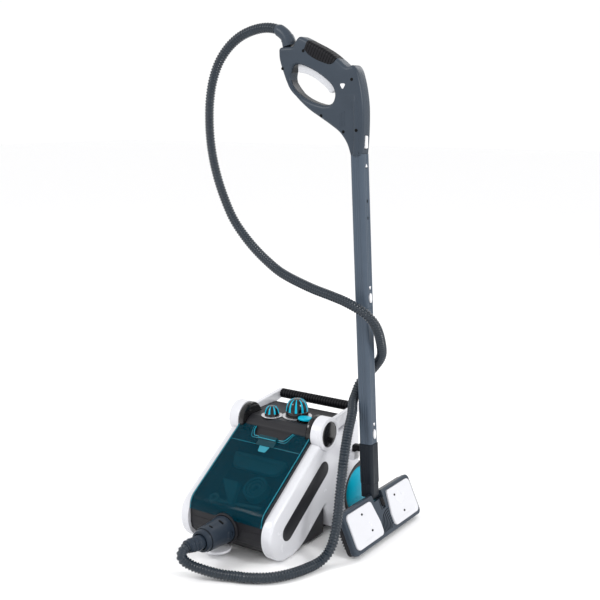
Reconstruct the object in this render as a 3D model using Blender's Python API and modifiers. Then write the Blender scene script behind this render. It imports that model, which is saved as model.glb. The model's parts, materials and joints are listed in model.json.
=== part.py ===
# Canister steam cleaner with its wand parked beside it.
# Metres, +Z up. The canister runs along Y with its hose socket at the front (-Y).
# Shapes are drawn in four bases: the canister, the lid's slope, the wand and the floor head.

from math import ceil, cos, pi, radians, sin, tan

import bmesh
import bpy
from mathutils import Euler, Matrix, Vector

GAP = 0.0003                      # between faces that touch
SHIFT = (-0.0609, -0.1589, 0.0)   # canister's own origin in the part's frame

TUB_HALF = 0.0990                 # half width of the dark tub
WALL = 0.0030
PANEL_INNER = 0.0995              # white side panels
PANEL_OUTER = 0.1225
HUB = (0.175, 0.237)              # handle pivot, y and z
HUB_RADIUS = 0.0380
HUB_OUTER = 0.1275
AXLE = (0.315, 0.0635)            # wheel axle, y and z
WHEEL_RADIUS = 0.0635
LID_TOP = (0.143, 0.2325)         # upper edge of the lid's outer face, y and z
SLOPE = radians(34.6)
LID_THICK = 0.0030
LID_HINGE = (-0.0385, 0.0850)
SOCKET_Z = 0.063                  # hose socket's axis
SOCKET_FACE = -0.0348
STEAM_KNOB = (-0.038, 0.186)
BOILER_CAP = (0.012, 0.215)
POWER_BUTTON = (0.0500, 0.1925)
DECK_Z = 0.2480

WAND_BASE = (0.194, 0.240, 0.090)
WAND_LEAN = radians(2.86)
NECK_END = 0.1218                 # joints along the wand's axis
TUBE_JOINT = 0.4270
WAND_TOP = 0.7530
TUBE_SIDE = 0.0315
GUN_Y = 0.240
GUN_HALF = 0.0180

HEAD_TOP = (0.2094, 0.240, 0.0990)
HEAD_TILT = radians(24.4)
HEAD_LENGTH = 0.292
HEAD_HEIGHT = 0.097
HEAD_FACE = 0.0140                # thickness of the head's upper shell
HEAD_BACK = 0.0240

HOSE_RADIUS = 0.01125
HOSE_POINTS = 64
BOOT_LENGTH = 0.091                # of the route, from the plug
HOSE_BEND = 0.060                  # of the route, where it turns in tightly
CUFF_LENGTH = 0.047               # of the route, at the gun

# The hose's route by hand: from the plug through its bent boot, over the floor, up past
# the wand, round it and over to the gun's cuff.
HOSE_ROUTE = (
    (0.0000, -0.1203, 0.0630), (0.0000, -0.1290, 0.0632), (-0.0006, -0.1390, 0.0646),
    (-0.0014, -0.1490, 0.0662), (-0.0026, -0.1585, 0.0662), (-0.0038, -0.1665, 0.0630),
    (-0.0040, -0.1722, 0.0565), (-0.0028, -0.1735, 0.0490), (0.0010, -0.1705, 0.0415),
    (0.0072, -0.1645, 0.0345), (0.0155, -0.1580, 0.0285), (0.0262, -0.1505, 0.0235),
    (0.0395, -0.1428, 0.0188), (0.0540, -0.1350, 0.0150), (0.0700, -0.1270, 0.0125),
    (0.0890, -0.1180, 0.0118),
    (0.1122, -0.1095, 0.0118), (0.1482, -0.0850, 0.0118), (0.1740, -0.0500, 0.0118),
    (0.1880, -0.0124, 0.0118), (0.1970, 0.0200, 0.0138), (0.2050, 0.0400, 0.0240),
    (0.2110, 0.0530, 0.0430), (0.2145, 0.0610, 0.0680), (0.2150, 0.0690, 0.0960),
    (0.2135, 0.0770, 0.1240), (0.2105, 0.0860, 0.1480), (0.2050, 0.1010, 0.1780),
    (0.1970, 0.1210, 0.2075), (0.1875, 0.1450, 0.2350), (0.1785, 0.1710, 0.2620),
    (0.1685, 0.2000, 0.2860), (0.1540, 0.2270, 0.3020), (0.1495, 0.2470, 0.3180),
    (0.1490, 0.2640, 0.3370), (0.1600, 0.2750, 0.3550), (0.1790, 0.2760, 0.3760),
    (0.2015, 0.2675, 0.4070), (0.2130, 0.2430, 0.4460), (0.2160, 0.2170, 0.4830),
    (0.2050, 0.2005, 0.5080), (0.1810, 0.1960, 0.5230), (0.1466, 0.1980, 0.5345),
    (0.1082, 0.2020, 0.5425), (0.0640, 0.2080, 0.5500), (0.0201, 0.2150, 0.5595),
    (-0.0220, 0.2230, 0.5700), (-0.0588, 0.2290, 0.5840), (-0.1123, 0.2360, 0.6155),
    (-0.1560, 0.2400, 0.6513), (-0.1878, 0.2400, 0.6890), (-0.2120, 0.2400, 0.7330),
    (-0.2312, 0.2400, 0.7790), (-0.2445, 0.2400, 0.8250), (-0.2520, 0.2400, 0.8710),
    (-0.2540, 0.2400, 0.9170), (-0.2510, 0.2400, 0.9620), (-0.2410, 0.2400, 1.0060),
    (-0.2226, 0.2400, 1.0450), (-0.1945, 0.2400, 1.0770), (-0.1609, 0.2400, 1.0995),
    (-0.1241, 0.2400, 1.1120), (-0.0890, 0.2400, 1.1160), (-0.0600, 0.2400, 1.1120),
    (-0.0400, 0.2400, 1.1015), (-0.0285, 0.2400, 1.0880), (-0.0245, 0.2400, 1.0745),
)

COLOURS = {
    "white_shell": ((0.88, 0.88, 0.90), 0.28, 0.0),
    "charcoal_body": ((0.045, 0.045, 0.050), 0.45, 0.0),
    "black_gloss": ((0.020, 0.020, 0.024), 0.15, 0.0),
    "lid_teal": ((0.010, 0.130, 0.170), 0.08, 0.0),
    "teal_plastic": ((0.010, 0.440, 0.560), 0.30, 0.0),
    "bezel_silver": ((0.62, 0.62, 0.64), 0.30, 0.8),
    "wand_grey": ((0.075, 0.100, 0.130), 0.42, 0.0),
    "hose_grey": ((0.030, 0.045, 0.062), 0.50, 0.0),
    "black_rubber": ((0.016, 0.016, 0.018), 0.75, 0.0),
    "tyre_rubber": ((0.016, 0.016, 0.018), 0.70, 0.0),
    "steel": ((0.60, 0.60, 0.62), 0.30, 1.0),
    "brass": ((0.70, 0.50, 0.22), 0.30, 1.0),
    "circuit_board": ((0.02, 0.20, 0.09), 0.50, 0.0),
    "trigger_grey": ((0.80, 0.80, 0.82), 0.30, 0.0),
    "bristle_black": ((0.015, 0.015, 0.018), 0.80, 0.0),
}

# Each moving body's pivot: the base that it is given in, and a point on its axis there.
PIVOTS = {
    "lid": ("canister", (0, *LID_HINGE)),
    "lid_latch": ("slope", (0, -0.0300, 0.0010)),
    "steam_knob": ("canister", (*STEAM_KNOB, DECK_Z)),
    "boiler_cap": ("canister", (*BOILER_CAP, DECK_Z)),
    "power_button": ("canister", (*POWER_BUTTON, DECK_Z)),
    "handle": ("canister", (0, *HUB)),
    "wheel_left": ("canister", (0, *AXLE)),
    "wheel_right": ("canister", (0, *AXLE)),
    "caster_fork": ("canister", (-0.018, -0.030, 0.012)),
    "caster_wheel": ("canister", (-0.018, -0.040, 0.0065)),
    "plug_button": ("canister", (0.026, -0.057, SOCKET_Z)),
    "wand": ("wand", (0, 0, 0)),
    "trigger": ("canister", (0.0985, GUN_Y, 0.9900)),
    "trigger_lock": ("canister", (0.1115, GUN_Y, 0.989)),
    "gun_button": ("canister", (0.164, GUN_Y, 0.872)),
    "upper_tube_button": ("wand", (TUBE_SIDE / 2, 0, TUBE_JOINT + 0.022)),
    "lower_tube_button": ("wand", (TUBE_SIDE / 2, 0, NECK_END + 0.022)),
    "swivel": ("wand", (0, 0, 0)),
    "head": ("head", (-0.0120, 0, -0.0060)),
    "flap_left": ("head", (0.0042, -0.0250, -0.048)),
    "flap_right": ("head", (0.0042, 0.0250, -0.048)),
    "head_slider": ("head", (0, 0.010, -0.028)),
}


# ---------------------------------------------------------------- scene and frames

def clear_scene():
    for item in list(bpy.data.objects):
        bpy.data.objects.remove(item, do_unlink=True)


def make_collections():
    for name in ("steam_cleaner", "cutters"):
        bpy.context.scene.collection.children.link(bpy.data.collections.new(name))


def make_materials():
    for name, (colour, roughness, metallic) in COLOURS.items():
        shader = bpy.data.materials.new(name)
        shader.use_nodes = True
        surface = shader.node_tree.nodes["Principled BSDF"]
        surface.inputs["Base Color"].default_value = (*colour, 1.0)
        surface.inputs["Roughness"].default_value = roughness
        surface.inputs["Metallic"].default_value = metallic


def add_empty(name, matrix):
    empty = bpy.data.objects.new(name, None)
    bpy.data.collections["steam_cleaner"].objects.link(empty)
    empty.matrix_world = matrix
    return empty


def make_frames():
    """Empties for the four bases, and one on each moving body's axis."""
    canister = Matrix.Translation(SHIFT)
    lean = Euler((0, -WAND_LEAN, 0)).to_matrix().to_4x4()
    tilt = Euler((0, -HEAD_TILT, 0)).to_matrix().to_4x4()
    rise = Euler((SLOPE, 0, 0)).to_matrix().to_4x4()
    bases = {
        "canister": canister,
        "slope": canister @ Matrix.Translation((0, *LID_TOP)) @ rise,
        "wand": canister @ Matrix.Translation(WAND_BASE) @ lean,
        "head": canister @ Matrix.Translation(HEAD_TOP) @ tilt,
    }
    for name, matrix in bases.items():
        add_empty("base_" + name, matrix)
    for name, (base, place) in PIVOTS.items():
        add_empty("pivot_" + name, bases[base] @ Matrix.Translation(place))
    bpy.context.view_layer.update()


def attach(shape, base, body=None):
    """Parent a shape drawn in a base to that base, or to its body's pivot."""
    origin = bpy.data.objects["base_" + base]
    parent = bpy.data.objects["pivot_" + body] if body else origin
    shape.parent = parent
    shape.matrix_parent_inverse = parent.matrix_world.inverted() @ origin.matrix_world


def keep(shape, name, material, base="canister", body=None):
    """Name a finished piece, give it its material and hang it in the assembly."""
    shape.name = name
    shape.data.name = name
    shape.data.materials.clear()
    shape.data.materials.append(bpy.data.materials[material])
    shape.data.shade_smooth()
    shape.data.set_sharp_from_angle(angle=radians(35))
    attach(shape, base, body)
    return shape


def boolean(shape, other, base="canister", operation="DIFFERENCE"):
    """Cut or join with a shape of the same or another base, kept as a cutter."""
    parts, cutters = (bpy.data.collections[n] for n in ("steam_cleaner", "cutters"))
    parts.objects.unlink(other)
    cutters.objects.link(other)
    other.hide_render = True
    other.display_type = "WIRE"
    attach(other, base)
    modifier = shape.modifiers.new(operation.lower(), "BOOLEAN")
    modifier.operation = operation
    modifier.object = other
    return shape


# ---------------------------------------------------------------- shapes

def mesh_object(mesh):
    shape = bpy.data.objects.new("shape", mesh)
    bpy.data.collections["steam_cleaner"].objects.link(shape)
    return shape


def from_bmesh(work):
    mesh = bpy.data.meshes.new("shape")
    work.to_mesh(mesh)
    work.free()
    return mesh_object(mesh)


def from_curve(curve, matrix=None):
    """A curve's surface as a welded mesh."""
    guide = bpy.data.objects.new("guide", curve)
    bpy.context.scene.collection.objects.link(guide)
    graph = bpy.context.evaluated_depsgraph_get()
    mesh = bpy.data.meshes.new_from_object(guide.evaluated_get(graph))
    bpy.data.objects.remove(guide, do_unlink=True)
    work = bmesh.new()
    work.from_mesh(mesh)
    bmesh.ops.remove_doubles(work, verts=work.verts, dist=0.00001)
    bmesh.ops.recalc_face_normals(work, faces=work.faces)
    if matrix:
        work.transform(matrix)
    return from_bmesh(work)


def rounded(corners):
    """An outline from corners (u, v, fillet radius), each fillet as an arc."""
    points = []
    count = len(corners)
    for index, (u, v, radius) in enumerate(corners):
        here = Vector((u, v))
        before = (Vector(corners[index - 1][:2]) - here).normalized()
        after = (Vector(corners[(index + 1) % count][:2]) - here).normalized()
        half = before.angle(after) / 2
        if radius <= 0:
            points.append(here)
            continue
        start = here + before * radius / tan(half)
        centre = here + (before + after).normalized() * radius / sin(half)
        sweep = pi - 2 * half
        steps = max(2, ceil(sweep / radians(28)))
        first = start - centre
        turn = 1 if before.cross(after) < 0 else -1
        for step in range(steps + 1):
            angle = turn * sweep * step / steps
            points.append(centre + Matrix.Rotation(angle, 2) @ first)
    return points


def circle(u, v, radius, count=20):
    turns = (2 * pi * k / count for k in range(count))
    return [Vector((u + radius * cos(a), v + radius * sin(a))) for a in turns]


def oval(u, v, half_u, half_v, count=20):
    turns = (2 * pi * k / count for k in range(count))
    return [Vector((u + half_u * cos(a), v + half_v * sin(a))) for a in turns]


PLANES = {
    "YZ": Euler((pi / 2, 0, pi / 2)),   # outline in y and z, extruded along X
    "XZ": Euler((pi / 2, 0, 0)),        # outline in x and z, extruded along Y
    "XY": Euler((0, 0, 0)),             # outline in x and y, extruded along Z
}


def flat_curve(loops, smooth=False):
    curve = bpy.data.curves.new("outline", "CURVE")
    curve.dimensions = "2D"
    curve.fill_mode = "BOTH"
    for loop in loops:
        if smooth:
            spline = curve.splines.new("BEZIER")
            spline.bezier_points.add(len(loop) - 1)
            for knot, point in zip(spline.bezier_points, loop):
                knot.co = (point[0], point[1], 0)
                kind = "VECTOR" if len(point) == 3 else "AUTO"
                knot.handle_left_type = knot.handle_right_type = kind
            spline.resolution_u = 1
        else:
            spline = curve.splines.new("POLY")
            spline.points.add(len(loop) - 1)
            for knot, point in zip(spline.points, loop):
                knot.co = (point[0], point[1], 0, 1)
        spline.use_cyclic_u = True
    return curve


def plate(plane, low, high, *loops, rim=0.0, rims=("high",), segments=2, smooth=False):
    """A flat outline between two depths, with its outer rim rounded on the sides named."""
    curve = flat_curve(loops, smooth)
    curve.extrude = (high - low) / 2
    shape = from_curve(curve)
    work = bmesh.new()
    work.from_mesh(shape.data)
    top, bottom = (high - low) / 2, (low - high) / 2
    if rim:
        levels = [z for z, side in ((top, "high"), (bottom, "low")) if side in rims]
        edges = [
            edge for edge in work.edges
            if any(all(abs(v.co.z - z) < 1e-6 for v in edge.verts) for z in levels)
            and any(abs(f.normal.z) < 0.5 for f in edge.link_faces)
        ]
        bmesh.ops.bevel(work, geom=edges, offset=rim, segments=segments, profile=0.5,
                        affect="EDGES", clamp_overlap=True)
    middle = (high + low) / 2
    if plane == "XZ":
        middle = -middle
    work.transform(PLANES[plane].to_matrix().to_4x4() @ Matrix.Translation((0, 0, middle)))
    work.to_mesh(shape.data)
    work.free()
    return shape


def box(low, high, edge=0.0):
    """A block between two corners, with its edges rounded."""
    low, high = Vector(low), Vector(high)
    size = high - low
    work = bmesh.new()
    place = Matrix.Translation((low + high) / 2) @ Matrix.Diagonal((*size, 1))
    bmesh.ops.create_cube(work, size=1, matrix=place)
    if edge:
        bmesh.ops.bevel(work, geom=work.edges[:], offset=edge, segments=2, profile=0.5,
                        affect="EDGES")
    return from_bmesh(work)


def rod(axis, centre, radius, length, edge=0.0, count=20):
    """A cylinder along a world axis, centred on a point."""
    turn = {"X": Euler((0, pi / 2, 0)), "Y": Euler((pi / 2, 0, 0)), "Z": Euler((0, 0, 0))}
    work = bmesh.new()
    place = Matrix.Translation(centre) @ turn[axis].to_matrix().to_4x4()
    bmesh.ops.create_cone(work, cap_ends=True, segments=count, radius1=radius,
                          radius2=radius, depth=length, matrix=place)
    if edge:
        ends = [e for e in work.edges if any(len(f.verts) > 4 for f in e.link_faces)]
        bmesh.ops.bevel(work, geom=ends, offset=edge, segments=2, profile=0.5,
                        affect="EDGES")
    return from_bmesh(work)


def turned(profile, matrix, closed=False, count=24):
    """A profile of (radius, height) points, outer side from top to bottom, spun about Z."""
    mesh = bpy.data.meshes.new("profile")
    last = len(profile) - 1
    edges = [(k, k + 1) for k in range(last)]
    if closed:
        edges.append((last, 0))
    mesh.from_pydata([(r, 0, z) for r, z in profile], edges, [])
    shape = mesh_object(mesh)
    screw = shape.modifiers.new("spin", "SCREW")
    screw.steps = screw.render_steps = count
    screw.use_merge_vertices = True
    screw.merge_threshold = 0.00001
    bpy.context.view_layer.update()
    graph = bpy.context.evaluated_depsgraph_get()
    spun = bpy.data.meshes.new_from_object(shape.evaluated_get(graph))
    bpy.data.objects.remove(shape, do_unlink=True)
    work = bmesh.new()
    work.from_mesh(spun)
    bmesh.ops.remove_doubles(work, verts=work.verts, dist=0.00001)
    work.transform(matrix)
    return from_bmesh(work)


def spaced(line, count):
    """Evenly spaced points along a fine line of points."""
    lengths = [0.0]
    for a, b in zip(line, line[1:]):
        lengths.append(lengths[-1] + (b - a).length)
    points = []
    index = 0
    for k in range(count):
        goal = lengths[-1] * k / (count - 1)
        while index < len(line) - 2 and lengths[index + 1] < goal:
            index += 1
        share = (goal - lengths[index]) / (lengths[index + 1] - lengths[index])
        points.append(line[index].lerp(line[index + 1], min(share, 1.0)))
    return points


def smooth_route(knots, count):
    """Evenly spaced points on a Catmull-Rom curve through the knots."""
    knots = [Vector(k) for k in knots]
    ends = [2 * knots[0] - knots[1], *knots, 2 * knots[-1] - knots[-2]]
    line = []
    for a, b, c, d in zip(ends, ends[1:], ends[2:], ends[3:]):
        for step in range(12):
            t = step / 12
            line.append(0.5 * (2 * b + (c - a) * t + (2 * a - 5 * b + 4 * c - d) * t ** 2
                               + (3 * b - a - 3 * c + d) * t ** 3))
    line.append(knots[-1])
    return spaced(line, count)


def tube(points, radius, sides=2, taper=1.0):
    """A round tube along points, narrowing to taper times its radius at the far end."""
    curve = bpy.data.curves.new("tube", "CURVE")
    curve.dimensions = "3D"
    curve.bevel_depth = radius
    curve.bevel_resolution = sides
    curve.use_fill_caps = True
    spline = curve.splines.new("POLY")
    spline.points.add(len(points) - 1)
    for index, point in enumerate(points):
        spline.points[index].co = (*point, 1)
        spline.points[index].radius = 1 + (taper - 1) * index / (len(points) - 1)
    return from_curve(curve)


def mirrored(side, x):
    return x if side == "right" else -x


def sided_plate(side, low, high, *loops, **options):
    """A YZ plate given for the right side, placed on the side asked for."""
    if side == "right":
        return plate("YZ", low, high, *loops, **options)
    swap = {"high": "low", "low": "high"}
    options["rims"] = [swap[r] for r in options.get("rims", ("high",))]
    return plate("YZ", -high, -low, *loops, **options)


# ---------------------------------------------------------------- canister

TUB_OUTER = (
    (-0.0345, 0.0835, 0.0015), (-0.0345, 0.0400, 0.0300), (0.0040, 0.0065, 0.0300),
    (0.2400, 0.0065, 0.0100), (0.2980, 0.0165, 0.0200), (0.3350, 0.0350, 0.0180),
    (0.3350, 0.1100, 0.0280), (0.3005, 0.1500, 0.0300), (0.3005, 0.2245, 0.0015),
    (0.1376, 0.2245, 0.0015), (-0.0345, 0.1058, 0.0310),
)
TUB_INNER = (
    (-0.0315, 0.3200, 0), (-0.0315, 0.0410, 0.0270), (0.0050, 0.0095, 0.0270),
    (0.2400, 0.0095, 0.0080), (0.2970, 0.0195, 0.0180), (0.3320, 0.0370, 0.0150),
    (0.3320, 0.1090, 0.0250), (0.2975, 0.1490, 0.0280), (0.2975, 0.3200, 0),
)


def make_tub():
    tub = plate("YZ", -TUB_HALF, TUB_HALF, rounded(TUB_OUTER))
    inside = TUB_HALF - WALL
    boolean(tub, plate("YZ", -inside, inside, rounded(TUB_INNER)))
    boolean(tub, rod("Y", (0, SOCKET_FACE, SOCKET_Z), 0.0255, 0.03))
    boolean(tub, rod("X", (0, *AXLE), 0.0048, 0.3, count=16))
    boolean(tub, rod("X", (0, *HUB), HUB_RADIUS, 0.5, count=28))
    keep(tub, "base_tub", "charcoal_body")


def make_side_panels():
    """White panels: a broad sloping bar, its hub recess and the leg over the wheel."""
    corners = (
        (-0.0430, 0.0906, 0.0500), (-0.0430, 0.0030, 0.0600), (0.0660, 0.0030, 0.1000),
        (0.1715, 0.0780, 0.0040), (0.1690, 0.0620, 0.0100), (0.1890, 0.0130, 0.0080),
        (0.2720, 0.0130, 0.0080), (0.3125, 0.1000, 0.0010), (0.3125, 0.1700, 0.0600),
        (0.3060, 0.2450, 0.0150), (0.1950, 0.2180, 0), (0.1415, 0.2198, 0),
    )
    for side in ("left", "right"):
        panel = sided_plate(side, PANEL_INNER, PANEL_OUTER, rounded(corners), rim=0.006,
                            segments=1)
        boolean(panel, rod("X", (0, *HUB), HUB_RADIUS + GAP, 0.5, count=32))
        boolean(panel, rod("X", (0, *AXLE), WHEEL_RADIUS + 0.006, 0.5, count=32))
        keep(panel, "side_panel_" + side, "white_shell")


def make_side_inlays():
    """Dark oblong inlays, let into the side panels' outer faces."""
    start, end, radius = Vector((0.0215, 0.0635)), Vector((0.162, 0.165)), 0.0190
    direction = (end - start).normalized()
    across = Vector((-direction.y, direction.x))

    def stadium(grow):
        points = []
        for centre, sign in ((start, -1), (end, 1)):
            for k in range(7):
                angle = pi * k / 6
                points.append(centre + (radius + grow) * sign
                              * (direction * sin(angle) + across * -cos(angle)))
        return points

    for side in ("left", "right"):
        pocket = sided_plate(side, PANEL_OUTER - 0.0025, PANEL_OUTER + 0.01, stadium(GAP))
        boolean(bpy.data.objects["side_panel_" + side], pocket)
        inlay = sided_plate(side, PANEL_OUTER - 0.0025 + GAP, PANEL_OUTER + 0.0008,
                            stadium(0), rim=0.0008, segments=1)
        keep(inlay, "side_inlay_" + side, "black_gloss")


def make_deck():
    top = (
        (0.1440, 0.2249, 0), (0.1472, 0.2345, 0.0060), (0.1560, 0.2425, 0.0060),
        (0.1690, DECK_Z, 0.0040), (0.2850, DECK_Z, 0.0100), (0.2990, 0.2400, 0.0080),
        (0.2990, 0.2249, 0),
    )
    under = (
        (0.1500, 0.2000, 0), (0.1500, 0.2330, 0.0040), (0.1600, 0.2400, 0.0060),
        (0.1700, DECK_Z - WALL, 0.0040), (0.2840, DECK_Z - WALL, 0.0080),
        (0.2960, 0.2380, 0.0060), (0.2960, 0.2000, 0),
    )
    deck = plate("YZ", -TUB_HALF, TUB_HALF, rounded(top))
    inside = TUB_HALF - 0.0160
    boolean(deck, plate("YZ", -inside, inside, rounded(under)))
    for sign in (-1, 1):
        middle = sign * (TUB_HALF + 0.0845) / 2
        boolean(deck, rod("X", (middle, *HUB), HUB_RADIUS + GAP, TUB_HALF - 0.0835, count=32))
    boolean(deck, rod("Z", (*STEAM_KNOB, DECK_Z), 0.0062, 0.03, count=16))
    boolean(deck, rod("Z", (*BOILER_CAP, DECK_Z), 0.0205, 0.03, count=20))
    boolean(deck, plate("XY", DECK_Z - 0.01, DECK_Z + 0.01, oval(*POWER_BUTTON, 0.0140, 0.0105)))
    keep(deck, "top_deck", "charcoal_body")


def make_bezel():
    """Bright plate round both knobs: two overlapping discs with a hole under each knob."""
    low, high = DECK_Z + GAP, DECK_Z + 0.0015
    bezel = plate("XY", low, high, circle(*STEAM_KNOB, 0.0250, 22))
    boolean(bezel, plate("XY", low, high, circle(*BOILER_CAP, 0.0345, 26)), operation="UNION")
    boolean(bezel, rod("Z", (*STEAM_KNOB, DECK_Z), 0.0062, 0.03, count=16))
    boolean(bezel, rod("Z", (*BOILER_CAP, DECK_Z), 0.0205, 0.03, count=20))
    boolean(bezel, plate("XY", low - 0.01, high + 0.01, oval(*POWER_BUTTON, 0.0180, 0.0140)))
    keep(bezel, "deck_bezel", "bezel_silver")


def make_hub_collars():
    """Dark collars beside the deck, each with the stub pin that the handle turns on."""
    for side in ("left", "right"):
        middle = mirrored(side, (0.0850 + TUB_HALF - GAP) / 2)
        collar = rod("X", (middle, *HUB), HUB_RADIUS - 0.0008, TUB_HALF - GAP - 0.0850,
                     edge=0.004, count=24)
        pin = rod("X", (mirrored(side, 0.1060), *HUB), 0.0060 - GAP, 0.0300, count=16)
        boolean(collar, pin, operation="UNION")
        keep(collar, "hub_collar_" + side, "black_gloss")


def make_tray():
    outer = (
        (0.1345, 0.2200, 0.0010), (-0.0305, 0.1045, 0.0200), (-0.0305, 0.0905, 0.0060),
        (0.0450, 0.0905, 0.0200), (0.1345, 0.1600, 0.0100),
    )
    inner = (
        (0.1322, 0.3000, 0), (-0.0282, 0.3000, 0), (-0.0282, 0.0928, 0.0040),
        (0.0440, 0.0928, 0.0180), (0.1322, 0.1615, 0.0080),
    )
    tray = plate("YZ", -0.0955, 0.0955, rounded(outer))
    boolean(tray, plate("YZ", -0.0930, 0.0930, rounded(inner)))
    keep(tray, "accessory_tray", "charcoal_body")


def make_boiler():
    """Lying tank with a hole for its filler neck, and what is fastened to it."""
    y, z, radius = 0.2220, 0.1250, 0.0580
    x, neck_y = BOILER_CAP
    tank = rod("X", (0, y, z), radius, 0.1500, edge=0.008, count=20)
    boolean(tank, rod("X", (0, y, z), radius - 0.003, 0.1440, count=20))
    boolean(tank, rod("Z", (x, neck_y, z + radius), 0.0147, 0.04, count=16))
    neck = [(0.0175, DECK_Z - 0.0046), (0.0175, z + radius - 0.004), (0.0120, z + radius - 0.004),
            (0.0120, DECK_Z - 0.0046)]
    boolean(tank, turned(neck, Matrix.Translation((x, neck_y, 0)), closed=True, count=14),
            operation="UNION")
    keep(tank, "boiler_tank", "steel")
    keep(box((-0.060, y - 0.022, z - radius - 0.012), (0.060, y + 0.022, z - radius - GAP),
             0.002), "heating_element", "steel")
    keep(box((-0.062, 0.1500, 0.1880), (-0.022, 0.1760, 0.2140), 0.002), "steam_valve", "brass")
    pipe = ((-0.042, 0.1580, 0.1857), (-0.042, 0.1580, 0.180), (-0.042, 0.1500, 0.166),
            (-0.042, 0.1465, 0.060), (-0.042, 0.1400, 0.034), (-0.042, 0.1200, 0.026),
            (-0.020, 0.0500, 0.026), (-0.004, 0.0150, 0.040), (0.000, 0.0000, 0.060),
            (0.000, -0.0195, SOCKET_Z))
    keep(tube(smooth_route(pipe, 16), 0.0040), "steam_pipe", "brass")


def make_electrics():
    keep(box((0.005, 0.1420, 0.1500), (0.085, 0.1440, 0.2050), 0), "control_board",
         "circuit_board")
    gland = rod("Y", (-0.055, 0.3415, 0.080), 0.0095, 0.0120, edge=0.002, count=16)
    boolean(gland, rod("Y", (-0.055, 0.3480, 0.080), 0.0045, 0.0150, count=12))
    keep(gland, "cord_inlet", "black_rubber")


def make_hose_socket():
    """Collar round the hose socket: a flange on the tub's front and a sleeve through it."""
    front = -SOCKET_FACE
    profile = [(0.0195, front + 0.0068), (0.0322, front + 0.0068), (0.0338, front + 0.0052),
               (0.0338, front), (0.0250, front), (0.0250, front - 0.0150),
               (0.0195, front - 0.0150)]
    turn = Matrix.Translation((0, 0, SOCKET_Z)) @ Euler((pi / 2, 0, 0)).to_matrix().to_4x4()
    keep(turned(profile, turn, closed=True, count=24), "hose_socket", "charcoal_body")


def make_wheels():
    y, z = AXLE
    for side in ("left", "right"):
        body = "wheel_" + side
        turn = Euler((0, mirrored(side, pi / 2), 0)).to_matrix().to_4x4()
        place = Matrix.Translation((0, y, z)) @ turn
        tyre = [(0.0540, 0.1190), (0.0600, 0.1190), (0.0635, 0.1160), (0.0635, 0.1030),
                (0.0600, 0.1000), (0.0540, 0.1000)]
        keep(turned(tyre, place, closed=True, count=28), "wheel_tyre_" + side,
             "tyre_rubber", body=body)
        cap = [(0, 0.1255), (0.0180, 0.1245), (0.0360, 0.1215), (0.0500, 0.1165),
               (0.0537, 0.1120), (0.0537, 0.1010), (0.0048, 0.1010), (0.0048, 0.1120),
               (0, 0.1120)]
        keep(turned(cap, place, count=28), "wheel_cap_" + side, "teal_plastic", body=body)
    keep(rod("X", (0, y, z), 0.0045, 0.2230, count=12), "rear_axle", "steel")


def make_caster():
    """Small front caster: a plate under the socket, a swivel fork and a roller."""
    x, y, _ = PIVOTS["caster_fork"][1]
    bracket = plate("XY", 0.0165, 0.0225, oval(x, -0.0420, 0.0340, 0.0262, 22), rim=0.003,
                    segments=1)
    boolean(bracket, rod("Z", (x, y, 0.0165), 0.0033, 0.020, count=12))
    keep(bracket, "caster_bracket", "white_shell")
    fork = box((x - 0.0100, y - 0.0180, 0.0080), (x + 0.0100, y + 0.0060, 0.0162), 0.0015)
    boolean(fork, box((x - 0.0072, y - 0.0300, 0.0), (x + 0.0072, y - 0.0020, 0.0140)))
    boolean(fork, rod("Z", (x, y, 0.0160), 0.0030, 0.0090, count=12), operation="UNION")
    keep(fork, "caster_fork", "black_gloss", body="caster_fork")
    _, wheel_y, wheel_z = PIVOTS["caster_wheel"][1]
    boolean(fork, rod("X", (x, wheel_y, wheel_z + 0.003), 0.0017, 0.03, count=12))
    roller = rod("X", (x, wheel_y, wheel_z), wheel_z, 0.0130, edge=0.0012, count=20)
    keep(roller, "caster_roller", "trigger_grey", body="caster_wheel")


def make_handle():
    """Carrying bail, folded back: a hub and an arm on each side, and a ribbed grip."""
    y, z = HUB
    grip_y, grip_z = 0.3190, 0.2590
    direction = Vector((grip_y - y, grip_z - z)).normalized()
    across = Vector((-direction.y, direction.x))
    ends = ((Vector(HUB) + direction * 0.028, 0.0180), (Vector((grip_y, grip_z)), 0.0110))
    arm = []
    for (centre, radius), sign in zip(ends, (-1, 1)):
        for k in range(7):
            angle = pi * k / 6
            arm.append(centre + radius * sign * (direction * sin(angle) + across * -cos(angle)))
    for side in ("left", "right"):
        hub = sided_plate(side, PANEL_INNER, HUB_OUTER, circle(y, z, HUB_RADIUS - GAP, 28),
                          rim=0.0030)
        blade = sided_plate(side, 0.1025, 0.1137, arm, rim=0.003, rims=("high", "low"),
                            segments=1)
        boolean(hub, blade, operation="UNION")
        boolean(hub, sided_plate(side, HUB_OUTER - 0.0030, HUB_OUTER + 0.01,
                                 circle(y, z, 0.0290, 24)))
        boolean(hub, rod("X", (mirrored(side, 0.1000), y, z), 0.0060, 0.0440, count=16))
        keep(hub, "handle_arm_" + side, "white_shell", body="handle")
    grip = rod("X", (0, grip_y, grip_z), 0.0115, 2 * (0.1025 - GAP), edge=0.001, count=16)
    keep(grip, "handle_grip", "black_rubber", body="handle")


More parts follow.
